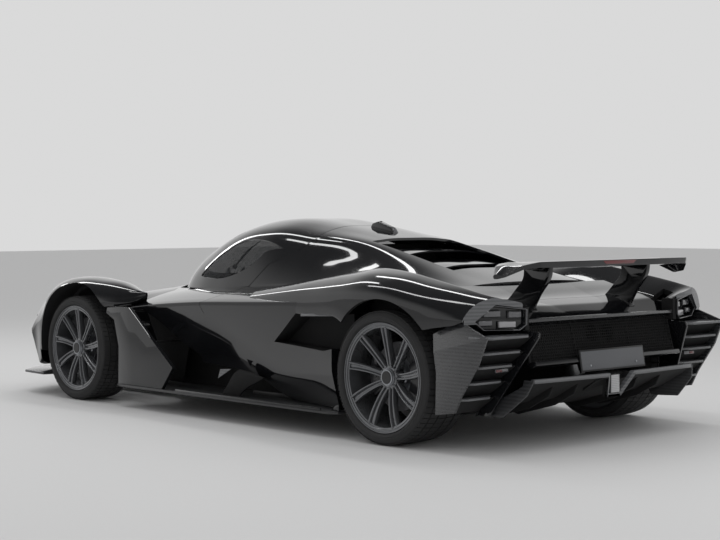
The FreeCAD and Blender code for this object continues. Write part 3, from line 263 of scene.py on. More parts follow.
@dataclass(frozen=True)
class Finish:
    """One finish: its material's name, its slot in the record, and the plain values of its shader."""

    name: str
    slot: str
    color: tuple[float, float, float]
    roughness: float
    metallic: float = 0.0
    coat: float = 0.0
    coat_roughness: float = 0.03

    def shade(self, times: float, more: float = 0.0) -> tuple[float, ...]:
        """Return the colour made darker or lighter."""
        return tuple(min(c * times + more, 1.0) for c in self.color)

    def material(self) -> bpy.types.Material:
        """Return the finish's material, made once."""
        found = bpy.data.materials.get(self.name)
        if found:
            return found
        painter = Painter(bpy.data.materials.new(self.name))
        painter.set(Base_Color=(*self.color, 1.0), Roughness=self.roughness, Metallic=self.metallic,
                    Coat_Weight=self.coat, Coat_Roughness=self.coat_roughness)
        self.dress(painter)
        return painter.owner

    def dress(self, painter: Painter) -> None:
        """Add what changes over the surface."""
        field_ = painter.noise(9.0, 3.0)
        painter.set(Roughness=(field_ * 0.08 + (self.roughness - 0.04)).clamp())


@dataclass(frozen=True)
class Lacquer(Finish):
    """Gloss lacquer over a dark base, with the faint ripple of a sprayed panel."""

    ripple: float = 0.00012

    def dress(self, painter: Painter) -> None:
        """Add the ripple and a breath of dust.

        Args:
            painter: The tree.
        """
        dust = painter.noise(6.0, 4.0)
        fine = painter.noise(2600.0, 0.0)
        flake = (fine - 0.62).clamp() * 1.6
        painter.set(Base_Color=(flake + dust * 0.18).clamp().blend(self.color, self.shade(3.2, 0.004)),
                    Roughness=dust * 0.05 + (self.roughness - 0.02), Specular_IOR_Level=0.15)
        painter.bump(painter.noise(95.0, 1.0), 0.10, self.ripple)


@dataclass(frozen=True)
class Weave(Finish):
    """Carbon cloth in a two-by-two twill under lacquer, laid on the plane that the surface faces."""

    tow: float = 0.0062
    light: tuple[float, float, float] = (0.034, 0.035, 0.038)
    turn: float = 45.0

    def dress(self, painter: Painter) -> None:
        """Lay the twill.

        Args:
            painter: The tree.
        """
        x, y, z = painter.split(painter.position())
        facing = painter.node("ShaderNodeNewGeometry", {}, {}, out="True Normal")
        nx, ny, nz = (abs(part) for part in painter.split(facing))
        side = (ny > nz) * (ny > nx)
        back = (nx > nz) * (1 - side)
        top = 1 - side - back
        flat_a = x * (side + top) + y * back
        flat_b = z * (side + back) + y * top
        lean_a, lean_b = math.cos(math.radians(self.turn)), math.sin(math.radians(self.turn))
        along = (flat_a * lean_a + flat_b * lean_b) / self.tow
        across = (flat_b * lean_a - flat_a * lean_b) / self.tow
        step = (along.floor() + across.floor()) % 4.0
        warp = step < 1.5
        crown_a = abs(((along % 1.0) - 0.5) * 2.0)
        crown_b = abs(((across % 1.0) - 0.5) * 2.0)
        crown = 1 - (crown_a * warp + crown_b * (1 - warp)) ** 2.0
        shade = painter.noise(30.0, 2.0)
        tone = (warp * 0.55 + crown * 0.30 + shade * 0.25 - 0.08).clamp()
        painter.set(Base_Color=tone.blend(self.color, self.light),
                    Roughness=(warp * 0.10 + (self.roughness - 0.05) + shade * 0.05).clamp())
        painter.bump(crown * 0.8 + warp * 0.2, 0.35, 0.0004)


@dataclass(frozen=True)
class Rubber(Finish):
    """Tyre rubber, a little lighter and duller in random dusty patches."""

    def dress(self, painter: Painter) -> None:
        """Add the dust and the moulding's grain.

        Args:
            painter: The tree.
        """
        dust = painter.noise(14.0, 5.0)
        grain = painter.noise(700.0, 2.0)
        painter.set(Base_Color=dust.blend(self.color, self.shade(1.9, 0.004)),
                    Roughness=(dust * 0.22 + self.roughness - 0.08).clamp())
        painter.bump(grain, 0.25, 0.0004)


@dataclass(frozen=True)
class Cast(Finish):
    """Bare or machined metal with turning marks or casting grain."""

    grain: float = 300.0
    stretch: tuple[float, float, float] = (1.0, 1.0, 1.0)

    def dress(self, painter: Painter) -> None:
        """Add the marks.

        Args:
            painter: The tree.
        """
        marks = painter.noise(self.grain, 3.0, self.stretch)
        wear = painter.noise(20.0, 4.0)
        painter.set(Base_Color=(marks * 0.5 + wear * 0.5).blend(self.shade(0.7), self.shade(1.25)),
                    Roughness=(marks * 0.18 + wear * 0.12 + self.roughness - 0.15).clamp())
        painter.bump(marks, 0.2, 0.0003)


@dataclass(frozen=True)
class Suede(Finish):
    """Napped microfibre on the seats and the dashboard."""

    def dress(self, painter: Painter) -> None:
        """Add the nap and its brushed patches.

        Args:
            painter: The tree.
        """
        nap = painter.noise(900.0, 3.0)
        brushed = painter.noise(11.0, 3.0)
        painter.set(Base_Color=(nap * 0.4 + brushed * 0.6).blend(self.shade(0.6), self.shade(1.7)),
                    Roughness=(nap * 0.1 + 0.86).clamp(), Sheen_Weight=0.35, Sheen_Roughness=0.45)
        painter.bump(nap, 0.4, 0.0006)


@dataclass(frozen=True)
class Pane(Finish):
    """Tinted glazing that the cabin shows through."""

    alpha: float = 0.07

    def dress(self, painter: Painter) -> None:
        """Set the tint, denser towards grazing angles.

        Args:
            painter: The tree.
        """
        rim = painter.node("ShaderNodeFresnel", {}, {"IOR": 1.45})
        haze = painter.noise(5.0, 2.0)
        painter.set(Alpha=(rim * 0.6 + (self.alpha - 0.02) + haze * 0.03).clamp(),
                    Roughness=haze * 0.02 + 0.01, IOR=1.5)


@dataclass(frozen=True)
class Glow(Finish):
    """A lamp's lens: coloured plastic with fine optics that gives a little light."""

    strength: float = 0.0
    optics: float = 0.004

    def dress(self, painter: Painter) -> None:
        """Add the optics and the light.

        Args:
            painter: The tree.
        """
        _, y, z = painter.split(painter.position())
        ribs = abs(((y / self.optics) % 1.0) - 0.5) * 2.0
        rows = abs(((z / self.optics) % 1.0) - 0.5) * 2.0
        cell = (ribs * rows).clamp()
        painter.set(Base_Color=cell.blend(self.shade(0.55), self.color),
                    Roughness=cell * 0.1 + 0.06, Emission_Strength=self.strength,
                    Emission_Color=cell.blend(self.shade(0.4), self.color))
        painter.bump(cell, 0.4, 0.0008)


BLACK = Lacquer("Gloss_Black", "body_gloss", (0.0045, 0.0047, 0.0055), 0.09, coat=1.0, coat_roughness=0.015)
CARBON = Weave("Carbon_Gloss", "carbon", (0.008, 0.0083, 0.0095), 0.30, coat=0.85, coat_roughness=0.05)
CARBON_DULL = Weave("Carbon_Satin", "carbon", (0.010, 0.0103, 0.0115), 0.42, coat=0.25, coat_roughness=0.25,
                    light=(0.040, 0.041, 0.044))
# painted highlight: a much lighter carbon laid on edges, lips and cut faces so that they show as the bright
# lines where they catch the light
CARBON_PAINTED_HIGHLIGHT = Weave("Carbon_Edge", "carbon", (0.055, 0.057, 0.061), 0.34, coat=0.6, coat_roughness=0.12,
                    light=(0.125, 0.128, 0.134))
SATIN = Finish("Satin_Black", "matte_black", (0.010, 0.010, 0.011), 0.42, coat=0.1)
LINER = Finish("Liner_Black", "matte_black", (0.006, 0.006, 0.0065), 0.85)
RIM = Lacquer("Rim_Anthracite", "rim_anthracite", (0.105, 0.108, 0.114), 0.22, metallic=0.65, coat=0.8,
              coat_roughness=0.06, ripple=0.00005)
TYRE = Rubber("Tyre_Rubber", "tyre", (0.013, 0.013, 0.0135), 0.72)
DISC = Cast("Disc_Ceramic", "disc", (0.085, 0.086, 0.090), 0.38, metallic=0.5, grain=500.0)
METAL = Cast("Machined_Metal", "metal", (0.34, 0.35, 0.37), 0.34, metallic=0.9)
CALIPER = Lacquer("Caliper_Dark", "metal", (0.018, 0.018, 0.020), 0.3, coat=0.8, coat_roughness=0.08)
GLASS = Pane("Pane_Tinted", "glass", (0.012, 0.014, 0.016), 0.02, coat=0.0)
SUEDE = Suede("Suede_Black", "interior", (0.022, 0.022, 0.024), 0.9)
LAMP_RED = Glow("Lamp_Red", "lamp", (0.16, 0.010, 0.012), 0.12, coat=1.0, coat_roughness=0.02)
LAMP_LIT = Glow("Lamp_Lit", "lamp", (0.40, 0.395, 0.41), 0.15, strength=0.15, coat=1.0, optics=0.006)
LAMP_GREY = Glow("Lamp_Grey", "lamp", (0.15, 0.15, 0.16), 0.15, coat=1.0, optics=0.005)
LAMP_CLEAR = Glow("Lamp_Clear", "lamp", (0.46, 0.46, 0.47), 0.15, coat=1.0, optics=0.009)
LAMP_DARK = Lacquer("Lamp_Bowl", "lamp", (0.012, 0.012, 0.013), 0.10, coat=1.0, coat_roughness=0.01)
EXHAUST = Cast("Exhaust_Metal", "metal", (0.07, 0.068, 0.066), 0.40, metallic=0.9, grain=420.0)
PLATE = Finish("Plate_Grey", "plate", (0.090, 0.093, 0.100), 0.5)

# Mesh building


def new_piece(name: str, points: Sequence[Vector], faces: Sequence[Sequence[int]]) -> Piece:
    """Make a mesh object at the origin.

    Args:
        name: The piece's name.
        points: Its vertices.
        faces: Vertex numbers of each face.

    Returns:
        The object.
    """
    mesh = bpy.data.meshes.new(name)
    mesh.from_pydata([tuple(p) for p in points], [], [tuple(f) for f in faces])
    piece = bpy.data.objects.new(name, mesh)
    bpy.context.scene.collection.objects.link(piece)
    return piece


def tidy(piece: Piece, merge: float = MERGE) -> Piece:
    """Merge doubles and turn the faces of a closed piece outwards.

    Args:
        piece: The piece.
        merge: The distance under which vertices are one.

    Returns:
        The same piece.
    """
    work = bmesh.new()
    work.from_mesh(piece.data)
    bmesh.ops.remove_doubles(work, verts=work.verts, dist=merge)
    bmesh.ops.dissolve_degenerate(work, edges=work.edges, dist=merge)
    bmesh.ops.recalc_face_normals(work, faces=work.faces)
    work.to_mesh(piece.data)
    work.free()
    return piece


def settle(piece: Piece) -> Piece:
    """Turn a piece's modifiers into plain mesh.

    Args:
        piece: The piece.

    Returns:
        The same piece with no modifier left.
    """
    bpy.context.view_layer.update()
    graph = bpy.context.evaluated_depsgraph_get()
    seen = piece.evaluated_get(graph)
    mesh = bpy.data.meshes.new_from_object(seen, preserve_all_data_layers=True, depsgraph=graph)
    piece.modifiers.clear()
    old = piece.data
    piece.data = mesh
    bpy.data.meshes.remove(old)
    mesh.name = piece.name
    return piece


def discard(*pieces: Piece) -> None:
    """Remove helper objects and their meshes."""
    for piece in pieces:
        mesh = piece.data
        bpy.data.objects.remove(piece)
        bpy.data.meshes.remove(mesh)


class Cut(Enum):
    """How a cutter meets a piece."""

    AWAY = "DIFFERENCE"
    KEEP = "INTERSECT"
    JOIN = "UNION"


def carve(piece: Piece, cutters: Iterable[Piece], how: Cut = Cut.AWAY,
          keep_cutters: bool = False, inside: Finish | None = None) -> Piece:
    """Cut a piece with closed cutters.

    Args:
        piece: The closed piece.
        cutters: The cutters, used up unless they are kept.
        how: Whether they cut away, keep the common part, or join.
        keep_cutters: Whether the cutters stay for another cut.
        inside: The finish of the faces that the cut leaves, on a piece that has its own finish already.

    Returns:
        The same piece.
    """
    cutters = list(cutters)
    for cutter in cutters:
        if inside:
            cutter.data.materials.append(inside.material())
        step = piece.modifiers.new("cut", "BOOLEAN")
        step.operation = how.value
        step.solver = "EXACT"
        step.material_mode = "TRANSFER" if inside else "INDEX"
        step.object = cutter
    settle(piece)
    if not keep_cutters:
        discard(*cutters)
    return tidy(piece)


def copy_of(piece: Piece, name: str) -> Piece:
    """Copy a piece with its own mesh under a new name."""
    twin = bpy.data.objects.new(name, piece.data.copy())
    bpy.context.scene.collection.objects.link(twin)
    return twin


def mirror_copy(piece: Piece, name: str) -> Piece:
    """Mirror a piece to the car's other side.

    Args:
        piece: The piece on one side.
        name: The new piece's name.

    Returns:
        The mirrored piece, its faces turned outwards.
    """
    twin = copy_of(piece, name)
    twin.data.transform(Matrix.Scale(-1, 4, (0, 1, 0)))
    twin.data.flip_normals()
    return twin


def join(name: str, pieces: Sequence[Piece]) -> Piece:
    """Join pieces into one, with their materials.

    Args:
        name: The name of the result.
        pieces: The pieces, used up.

    Returns:
        The joined piece.
    """
    mesh = bpy.data.meshes.new(name)
    work = bmesh.new()
    materials: list[bpy.types.Material] = []
    for piece in pieces:
        first = len(work.faces)
        work.from_mesh(piece.data)
        work.faces.ensure_lookup_table()
        numbers = []
        for material in piece.data.materials:
            if material not in materials:
                materials.append(material)
            numbers.append(materials.index(material))
        for face in work.faces[first:]:
            if numbers:
                face.material_index = numbers[min(face.material_index, len(numbers) - 1)]
    work.to_mesh(mesh)
    work.free()
    for material in materials:
        mesh.materials.append(material)
    discard(*pieces)
    whole = bpy.data.objects.new(name, mesh)
    bpy.context.scene.collection.objects.link(whole)
    return whole


def smooth(piece: Piece, angle: float = 32.0) -> Piece:
    """Shade a piece smooth, with its sharp edges kept.

    Args:
        piece: The piece.
        angle: The degrees over which an edge is sharp.

    Returns:
        The same piece.
    """
    work = bmesh.new()
    work.from_mesh(piece.data)
    limit = math.radians(angle)
    for face in work.faces:
        face.smooth = True
    for edge in work.edges:
        edge.smooth = len(edge.link_faces) == 2 and edge.calc_face_angle(0.0) < limit
    work.to_mesh(piece.data)
    work.free()
    return piece


def ease(piece: Piece, width: float, segments: int = 2, angle: float = 30.0) -> Piece:
    """Round a piece's sharp edges.

    Args:
        piece: The piece.
        width: The bevel's width.
        segments: Its steps.
        angle: The degrees over which an edge is rounded.

    Returns:
        The same piece, shaded smooth.
    """
    step = piece.modifiers.new("ease", "BEVEL")
    step.width = width
    step.segments = segments
    step.limit_method = "ANGLE"
    step.angle_limit = math.radians(angle)
    step.use_clamp_overlap = True
    step.harden_normals = False
    settle(piece)
    return smooth(piece, 40.0)


def slab(name: str, low: Sequence[Vector], high: Sequence[Vector]) -> Piece:
    """Close the space between two outlines.

    Args:
        name: The piece's name.
        low: The first outline.
        high: The last outline, of as many points.

    Returns:
        The closed block.
    """
    count = len(low)
    faces = [tuple(range(count)), tuple(range(count, 2 * count))[::-1]]
    faces += [(i, (i + 1) % count, (i + 1) % count + count, i + count) for i in range(count)]
    return tidy(new_piece(name, [*low, *high], faces))


def lattice(rows: int, wide: int, closed: bool = True) -> list[tuple[int, ...]]:
    """List the quads between rows of points that each close on themselves.

    Args:
        rows: The rows.
        wide: The points in a row.
        closed: Whether the last row joins the first.

    Returns:
        The faces.
    """
    quads = []
    for i in range(rows if closed else rows - 1):
        this, following = i * wide, (i + 1) % rows * wide
        quads += [(this + k, this + (k + 1) % wide, following + (k + 1) % wide, following + k)
                  for k in range(wide)]
    return quads


def circle(radius: float, sides: int, a: float = 0.0, b: float = 0.0) -> list[tuple[float, float]]:
    """List the corners of an even outline about a middle."""
    return [(a + radius * math.cos(math.tau * k / sides), b + radius * math.sin(math.tau * k / sides))
            for k in range(sides)]


def rotation(degrees: float, axis: str) -> Matrix:
    """Give a turn about an axis."""
    return Matrix.Rotation(math.radians(degrees), 4, axis)


def prism(outline: Pairs, axis: str, low: float, high: float,
          name: str = "cutter") -> Piece:
    """Raise a flat outline into a closed block.

    Args:
        outline: Corner pairs: (x, z) along Y, (x, y) along Z, (y, z) along X.
        axis: The axis it is raised along.
        low: Its first end.
        high: Its last end.
        name: The piece's name.

    Returns:
        The closed block.
    """
    spots = {"Y": lambda a, b, h: Vector((a, h, b)), "Z": lambda a, b, h: Vector((a, b, h)),
             "X": lambda a, b, h: Vector((h, a, b))}[axis]
    return slab(name, *([spots(a, b, h) for a, b in outline] for h in (low, high)))


def plank(table: Pairs, low: float, high: float, name: str = "cutter") -> Piece:
    """Raise an outline of (station, z) pairs along Y."""
    return prism(stations(table), "Y", low, high, name)


def block(low: Sequence[float], high: Sequence[float], name: str = "cutter") -> Piece:
    """Make a closed block between two corners."""
    outline = [(low[0], low[1]), (high[0], low[1]), (high[0], high[1]), (low[0], high[1])]
    return prism(outline, "Z", low[2], high[2], name)


def station_block(low: Sequence[float], high: Sequence[float], name: str = "cutter") -> Piece:
    """Make a closed block between two corners that are given by station, y and z."""
    return block((place(low[0]), *low[1:]), (place(high[0]), *high[1:]), name)


def drum(radius: float, low: float, high: float, centre: Vector, sides: int = 96,
         name: str = "cutter") -> Piece:
    """Make a closed drum about a Y axis."""
    return prism(circle(radius, sides, centre.x, centre.z), "Y", centre.y + low, centre.y + high, name)


def stations(table: Pairs) -> list[tuple[float, float]]:
    """Turn (station, millimetres) pairs into metres."""
    return [(place(w), v * MM) for w, v in table]


@dataclass
class Run:
    """A smooth line through points, with some of them kept as corners.

    Attributes:
        points: The points it passes through.
        corners: The rounding radius of each point that is a corner, by its number.
        closed: Whether the last point joins the first.
    """

    points: list[Vector]
    corners: dict[int, float] = field(default_factory=dict)
    closed: bool = False

    def sample(self, steps: int) -> list[Vector]:
        """Divide the line.

        Args:
            steps: Divisions between two of its points.

        Returns:
            The points of the divided line, the same number for every line of the same kind.
        """
        count = len(self.points)
        spans = count if self.closed else count - 1
        at = lambda i: self.points[i % count]
        lengths = [max((at(i + 1) - at(i)).length, 1e-6) for i in range(spans)]
        slopes = [(at(i + 1) - at(i)) / lengths[i] for i in range(spans)]

        def free(i: int) -> bool:
            """Tell whether the line runs smoothly through a point."""
            inside = self.closed or 0 < i < count - 1
            return inside and (i % count) not in self.corners

        def tangent(i: int) -> Vector:
            """Give the slope at a smooth point."""
            before, after = (i - 1) % spans, i % spans
            return (slopes[before] * lengths[after] + slopes[after] * lengths[before]) / (
                lengths[before] + lengths[after])

        pieces: list[list[Vector]] = []
        for i in range(spans):
            start = tangent(i) if free(i) else None
            stop = tangent(i + 1) if free(i + 1) else None
            if start is None:
                start = slopes[i] * 1.5 - stop * 0.5 if stop is not None else slopes[i]
            if stop is None:
                stop = slopes[i] * 1.5 - start * 0.5
            first = min(self.corners.get(i % count, 0.0) / lengths[i], 0.3)
            last = 1 - min(self.corners.get((i + 1) % count, 0.0) / lengths[i], 0.3)
            cut_end = (i + 1) % count in self.corners and (self.closed or i + 1 < count - 1)
            marks = [first + (last - first) * k / steps for k in range(steps + (1 if cut_end else 0))]
            pieces.append([self._hermite(at(i), at(i + 1), start * lengths[i], stop * lengths[i], t)
                           for t in marks])
        line: list[Vector] = []
        for i, piece in enumerate(pieces):
            line += piece
            corner = (i + 1) % count
            if corner in self.corners and (self.closed or i + 1 < count - 1):
                following = pieces[(i + 1) % spans][0]
                line.append((piece[-1] + self.points[corner] * 2 + following) / 4)
        if not self.closed:
            line.append(self.points[-1].copy())
        return line

    @staticmethod
    def _hermite(p: Vector, q: Vector, m: Vector, n: Vector, t: float) -> Vector:
        """Give a point of a Hermite span."""
        t2, t3 = t * t, t * t * t
        return p * (2 * t3 - 3 * t2 + 1) + m * (t3 - 2 * t2 + t) + q * (3 * t2 - 2 * t3) + n * (t3 - t2)


@dataclass
class Skin:
    """A smooth surface over sections: each section is a row of points, the same number in each.

    Attributes:
        rows: The sections.
        corners: Corner radii across a section, by point number.
        breaks: Corner radii along the body, by section number.
        ring: Whether each section closes on itself.
        across: Divisions between two points of a section.
        along: Divisions between two sections.
    """

    rows: list[list[Vector]]
    corners: dict[int, float] = field(default_factory=dict)
    breaks: dict[int, float] = field(default_factory=dict)
    ring: bool = False
    across: int = 5
    along: int = 5

    def grid(self) -> list[list[Vector]]:
        """Return the divided surface, row by row."""
        rows = [Run(row, self.corners, self.ring).sample(self.across) for row in self.rows]
        lines = [Run([row[k] for row in rows], self.breaks).sample(self.along) for k in range(len(rows[0]))]
        return [[line[i] for line in lines] for i in range(len(lines[0]))]

    def solid(self, name: str) -> Piece:
        """Close a ringed surface with an end face at each end.

        Args:
            name: The piece's name.

        Returns:
            The closed piece.
        """
        grid = self.grid()
        wide = len(grid[0])
        points = [p for row in grid for p in row]
        faces = lattice(len(grid), wide, False)
        faces.append(tuple(range(wide)))
        faces.append(tuple(range((len(grid) - 1) * wide, len(grid) * wide))[::-1])
        return tidy(new_piece(name, points, faces))

    def shell(self, name: str, thick: float) -> Piece:
        """Give an open surface a thickness inwards, on the side that the rows' order turns away from.

        Args:
            name: The piece's name.
            thick: The wall.

        Returns:
            The closed shell.
        """
        grid = self.grid()
        tall, wide = len(grid), len(grid[0])
        normals = []
        for i in range(tall):
            for k in range(wide):
                du = grid[min(i + 1, tall - 1)][k] - grid[max(i - 1, 0)][k]
                dv = grid[i][min(k + 1, wide - 1)] - grid[i][max(k - 1, 0)]
                normals.append(du.cross(dv).normalized())
        outer = [p for row in grid for p in row]
        inner = [p - n * thick for p, n in zip(outer, normals)]
        base = len(outer)
        faces = []
        for i in range(tall - 1):
            for k in range(wide - 1):
                quad = (i * wide + k, i * wide + k + 1, (i + 1) * wide + k + 1, (i + 1) * wide + k)
                faces.append(quad)
                faces.append(tuple(base + v for v in quad[::-1]))
        border = [k for k in range(wide)] + [i * wide + wide - 1 for i in range(1, tall)]
        border += [(tall - 1) * wide + k for k in range(wide - 2, -1, -1)]
        border += [i * wide for i in range(tall - 2, 0, -1)]
        for a, b in zip(border, border[1:] + border[:1]):
            faces.append((a, b, base + b, base + a))
        return tidy(new_piece(name, outer + inner, faces))


class Growth(Tree):
    """A Geometry Nodes tree with named inputs."""

    def __init__(self, name: str) -> None:
        """Make the empty tree."""
        super().__init__(bpy.data.node_groups.new(name, "GeometryNodeTree"))
        for way in ("INPUT", "OUTPUT"):
            self.tree.interface.new_socket("Geometry", in_out=way, socket_type="NodeSocketGeometry")
        self.inputs = self.tree.nodes.new("NodeGroupInput")
        self.outputs = self.tree.nodes.new("NodeGroupOutput")

    def ask(self, name: str, kind: str, value: object) -> Socket:
        """Add a named input with its default and return its socket inside the tree."""
        self.tree.interface.new_socket(name, in_out="INPUT",
                                       socket_type="NodeSocket" + kind).default_value = value
        return next(s for s in self.inputs.outputs if s.name == name)

    def close(self, geometry: Socket, material: bpy.types.Material) -> None:
        """End the tree in Realize Instances and Set Material."""
        real = self.add("GeometryNodeRealizeInstances", {}, {"Geometry": geometry})
        done = self.add("GeometryNodeSetMaterial", {}, {"Geometry": real, "Material": material})
        self.tree.links.new(done, self.outputs.inputs[0])

    def grow(self, piece: Piece, **values: object) -> Piece:
        """Run the tree on a piece and keep the plain mesh.

        Args:
            piece: The piece it starts from.
            **values: Inputs by name, with underscores for spaces.

        Returns:
            The same piece.
        """
        step = piece.modifiers.new("grow", "NODES")
        step.node_group = self.tree
        for item in self.tree.interface.items_tree:
            key = item.name.replace(" ", "_")
            if item.in_out == "INPUT" and key in values:
                step[item.identifier] = values[key]
        return settle(piece)


def ring_growth(name: str, material: bpy.types.Material) -> Growth:
    """Build a tree that repeats its piece round the Y axis through a centre.

    Args:
        name: The tree's name.
        material: The material of the result.

    Returns:
        The tree, with the inputs Count and Centre.
    """
    growth = Growth(name)
    count = growth.ask("Count", "Int", 9)
    centre = growth.ask("Centre", "Vector", (0.0, 0.0, 0.0))
    dots = growth.add("GeometryNodePoints", {}, {"Count": count, "Position": centre})
    index = growth.add("GeometryNodeInputIndex", {}, {})
    share = growth.add("ShaderNodeMath", {"operation": "DIVIDE"}, {0: index, 1: count})
    turn = growth.add("ShaderNodeMath", {"operation": "MULTIPLY"}, {0: share, 1: math.tau})
    angles = growth.add("ShaderNodeCombineXYZ", {}, {"Y": turn})
    rotation = growth.add("FunctionNodeEulerToRotation", {}, {0: angles})
    copies = growth.add("GeometryNodeInstanceOnPoints", {},
                         {"Points": dots, "Instance": growth.inputs.outputs[0], "Rotation": rotation})
    growth.close(copies, material)
    return growth


def dress(piece: Piece, finish: Finish, body: str, *replaced: str) -> Piece:
    """Give a piece its finish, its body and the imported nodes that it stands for.

    Args:
        piece: The piece, whole and in place.
        finish: Its finish; a piece that has materials keeps them.
        body: The body that it rides on.
        *replaced: The nodes that it replaces.

    Returns:
        The same piece.
    """
    if not piece.data.materials:
        piece.data.materials.append(finish.material())
    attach(piece, body)
    if replaced:
        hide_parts(*replaced)
    LOG.info("%s: %d faces on %s", piece.name, len(piece.data.polygons), body)
    return piece


@dataclass
class Studio:
    """The pale floor, the soft light and the camera at the photograph's place."""

    spot: tuple[float, float, float] = (-7.5239, 6.6252, 1.1702)
    yaw: float = -0.7437
    pitch: float = -0.0336
    roll: float = 0.0019
    lens: float = 81.38
    backdrop: float = 0.70
    ceiling: float = 0.10
    fill: float = 0.80
    floor_tone: float = 0.56
    far_wall: float = 0.26  # how much higher the bright wall reaches ahead of the camera than behind it
    wall_foot: float = 0.16
    wall_top: float = 0.62

    def build(self) -> None:
        """Make everything round the car."""
        self.camera()
        self.world()
        self.floor()
        for name, where, size, power, aim in (
                ("Top_Strip_Left", (0.0, 1.5, 5.4), (7.5, 0.35), 60.0, (0.0, 0.4, 0.4)),
                ("Top_Strip_Right", (0.0, -1.5, 5.4), (7.5, 0.35), 60.0, (0.0, -0.4, 0.4)),
                ("Rear_Strip", (-5.6, 0.0, 4.6), (0.35, 5.0), 40.0, (-1.4, 0.0, 0.6)),
                ("Front_Strip", (5.6, 0.0, 4.6), (0.35, 5.0), 40.0, (1.4, 0.0, 0.6))):
            self.softbox(name, Vector(where), size, power, Vector(aim))

    def camera(self) -> None:
        """Put the camera where the photograph was taken from."""
        data = bpy.data.cameras.new("Camera")
        data.lens = self.lens
        data.sensor_width = 36.0
        camera = bpy.data.objects.new("Camera", data)
        ahead = Vector((math.cos(self.pitch) * math.cos(self.yaw), math.cos(self.pitch) * math.sin(self.yaw),
                        math.sin(self.pitch)))
        right = ahead.cross(Vector((0, 0, 1))).normalized()
        up = right.cross(ahead)
        turn = Quaternion(ahead, self.roll)
        right, up = turn @ right, turn @ up
        frame = Matrix((right, up, -ahead)).transposed().to_4x4()
        frame.translation = Vector(self.spot)
        camera.matrix_world = frame
        bpy.context.scene.collection.objects.link(camera)
        bpy.context.scene.camera = camera

    def world(self) -> None:
        """Light the scene evenly, with a pale background for the camera, for gloss and through glass."""
        painter = Painter(bpy.data.worlds.new("Room"), "BACKGROUND")
        path = painter.node("ShaderNodeLightPath", {}, {}, "Is Camera Ray")
        seen = path
        for name in ("Is Glossy Ray", "Is Transmission Ray"):
            other = Term(painter, path.socket.node.outputs[name])
            seen = painter.node("ShaderNodeMath", {"operation": "MAXIMUM"}, {0: seen, 1: other})
        view = painter.node("ShaderNodeTexCoord", {}, {}, "Generated")
        lean = (-self.far_wall * math.cos(self.yaw), -self.far_wall * math.sin(self.yaw), 1.0)
        height = painter.node("ShaderNodeVectorMath", {"operation": "DOT_PRODUCT"}, {0: view, 1: lean},
                              "Value")
        wall = painter.node("ShaderNodeMapRange", {"interpolation_type": "SMOOTHSTEP"}, {
            "Value": height, "From Min": self.wall_foot, "From Max": self.wall_top, "To Min": self.backdrop,
            "To Max": self.ceiling})
        level = painter.node("ShaderNodeMapRange", {}, {"Value": seen, "To Min": self.fill, "To Max": wall})
        painter.set(Strength=level, Color=(1.0, 1.0, 1.0, 1.0))
        bpy.context.scene.world = painter.owner
        bpy.context.scene.view_settings.view_transform = "Standard"

    def floor(self) -> None:
        """Lay the floor, with a faint grain."""
        reach = 40.0
        corners = [Vector((x * reach, y * reach, 0)) for x, y in ((-1, -1), (1, -1), (1, 1), (-1, 1))]
        floor = new_piece("Floor", corners, [(0, 1, 2, 3)])
        painter = Painter(bpy.data.materials.new("Floor_Pale"))
        grain = painter.noise(60.0, 4.0)
        low, high = self.floor_tone * 0.97, self.floor_tone * 1.03
        painter.set(Base_Color=grain.blend((low, low, low * 1.005), (high, high, high)),
                    Roughness=(grain * 0.1 + 0.62).clamp())
        floor.data.materials.append(painter.owner)

    def softbox(self, name: str, where: Vector, size: tuple[float, float], power: float, aim: Vector) -> None:
        """Hang one soft lamp.

        Args:
            name: Its name.
            where: Its place.
            size: Its length and width.
            power: Its watts.
            aim: The point it faces.
        """
        data = bpy.data.lights.new(name, "AREA")
        data.shape = "RECTANGLE"
        data.size, data.size_y = size
        data.energy = power
        lamp = bpy.data.objects.new(name, data)
        lamp.location = where
        lamp.rotation_euler = (where - aim).to_track_quat("Z", "Y").to_euler()
        bpy.context.scene.collection.objects.link(lamp)


def row(station: float, pairs: Pairs) -> list[Vector]:
    """Place one section across the car."""
    return [Vector((place(station), y * MM, z * MM)) for y, z in pairs]


def arch(station: float, half: list[tuple[float, float]], top: float) -> list[Vector]:
    """Place a section that runs up its left half, over a middle and down the right half."""
    return row(station, half + [(0, top)] + [(-y, z) for y, z in reversed(half)])


def outline_run(points: Pairs, corners: dict[int, float], steps: int = 8) -> list[
        tuple[float, float]]:
    """Smooth a closed flat outline, with rounded corners where it has them."""
    line = Run([Vector((a, b, 0)) for a, b in points], corners, True).sample(steps)
    return [(p.x, p.y) for p in line]


def both(piece: Piece, finish: Finish, body: str, *replaced: str) -> list[Piece]:
    """Dress a left piece and its mirror image.

    Args:
        piece: The left piece; its name ends in _Left.
        finish: The finish.
        body: The body that they ride on, with {} where it has a side's name.
        *replaced: The nodes that they replace, in the same way.

    Returns:
        The two pieces.
    """
    twin = mirror_copy(piece, piece.name.replace("_Left", "_Right"))
    return [dress(made, finish, body.format(side.label), *(node.format(side.label) for node in replaced))
            for side, made in ((Side.LEFT, piece), (Side.RIGHT, twin))]


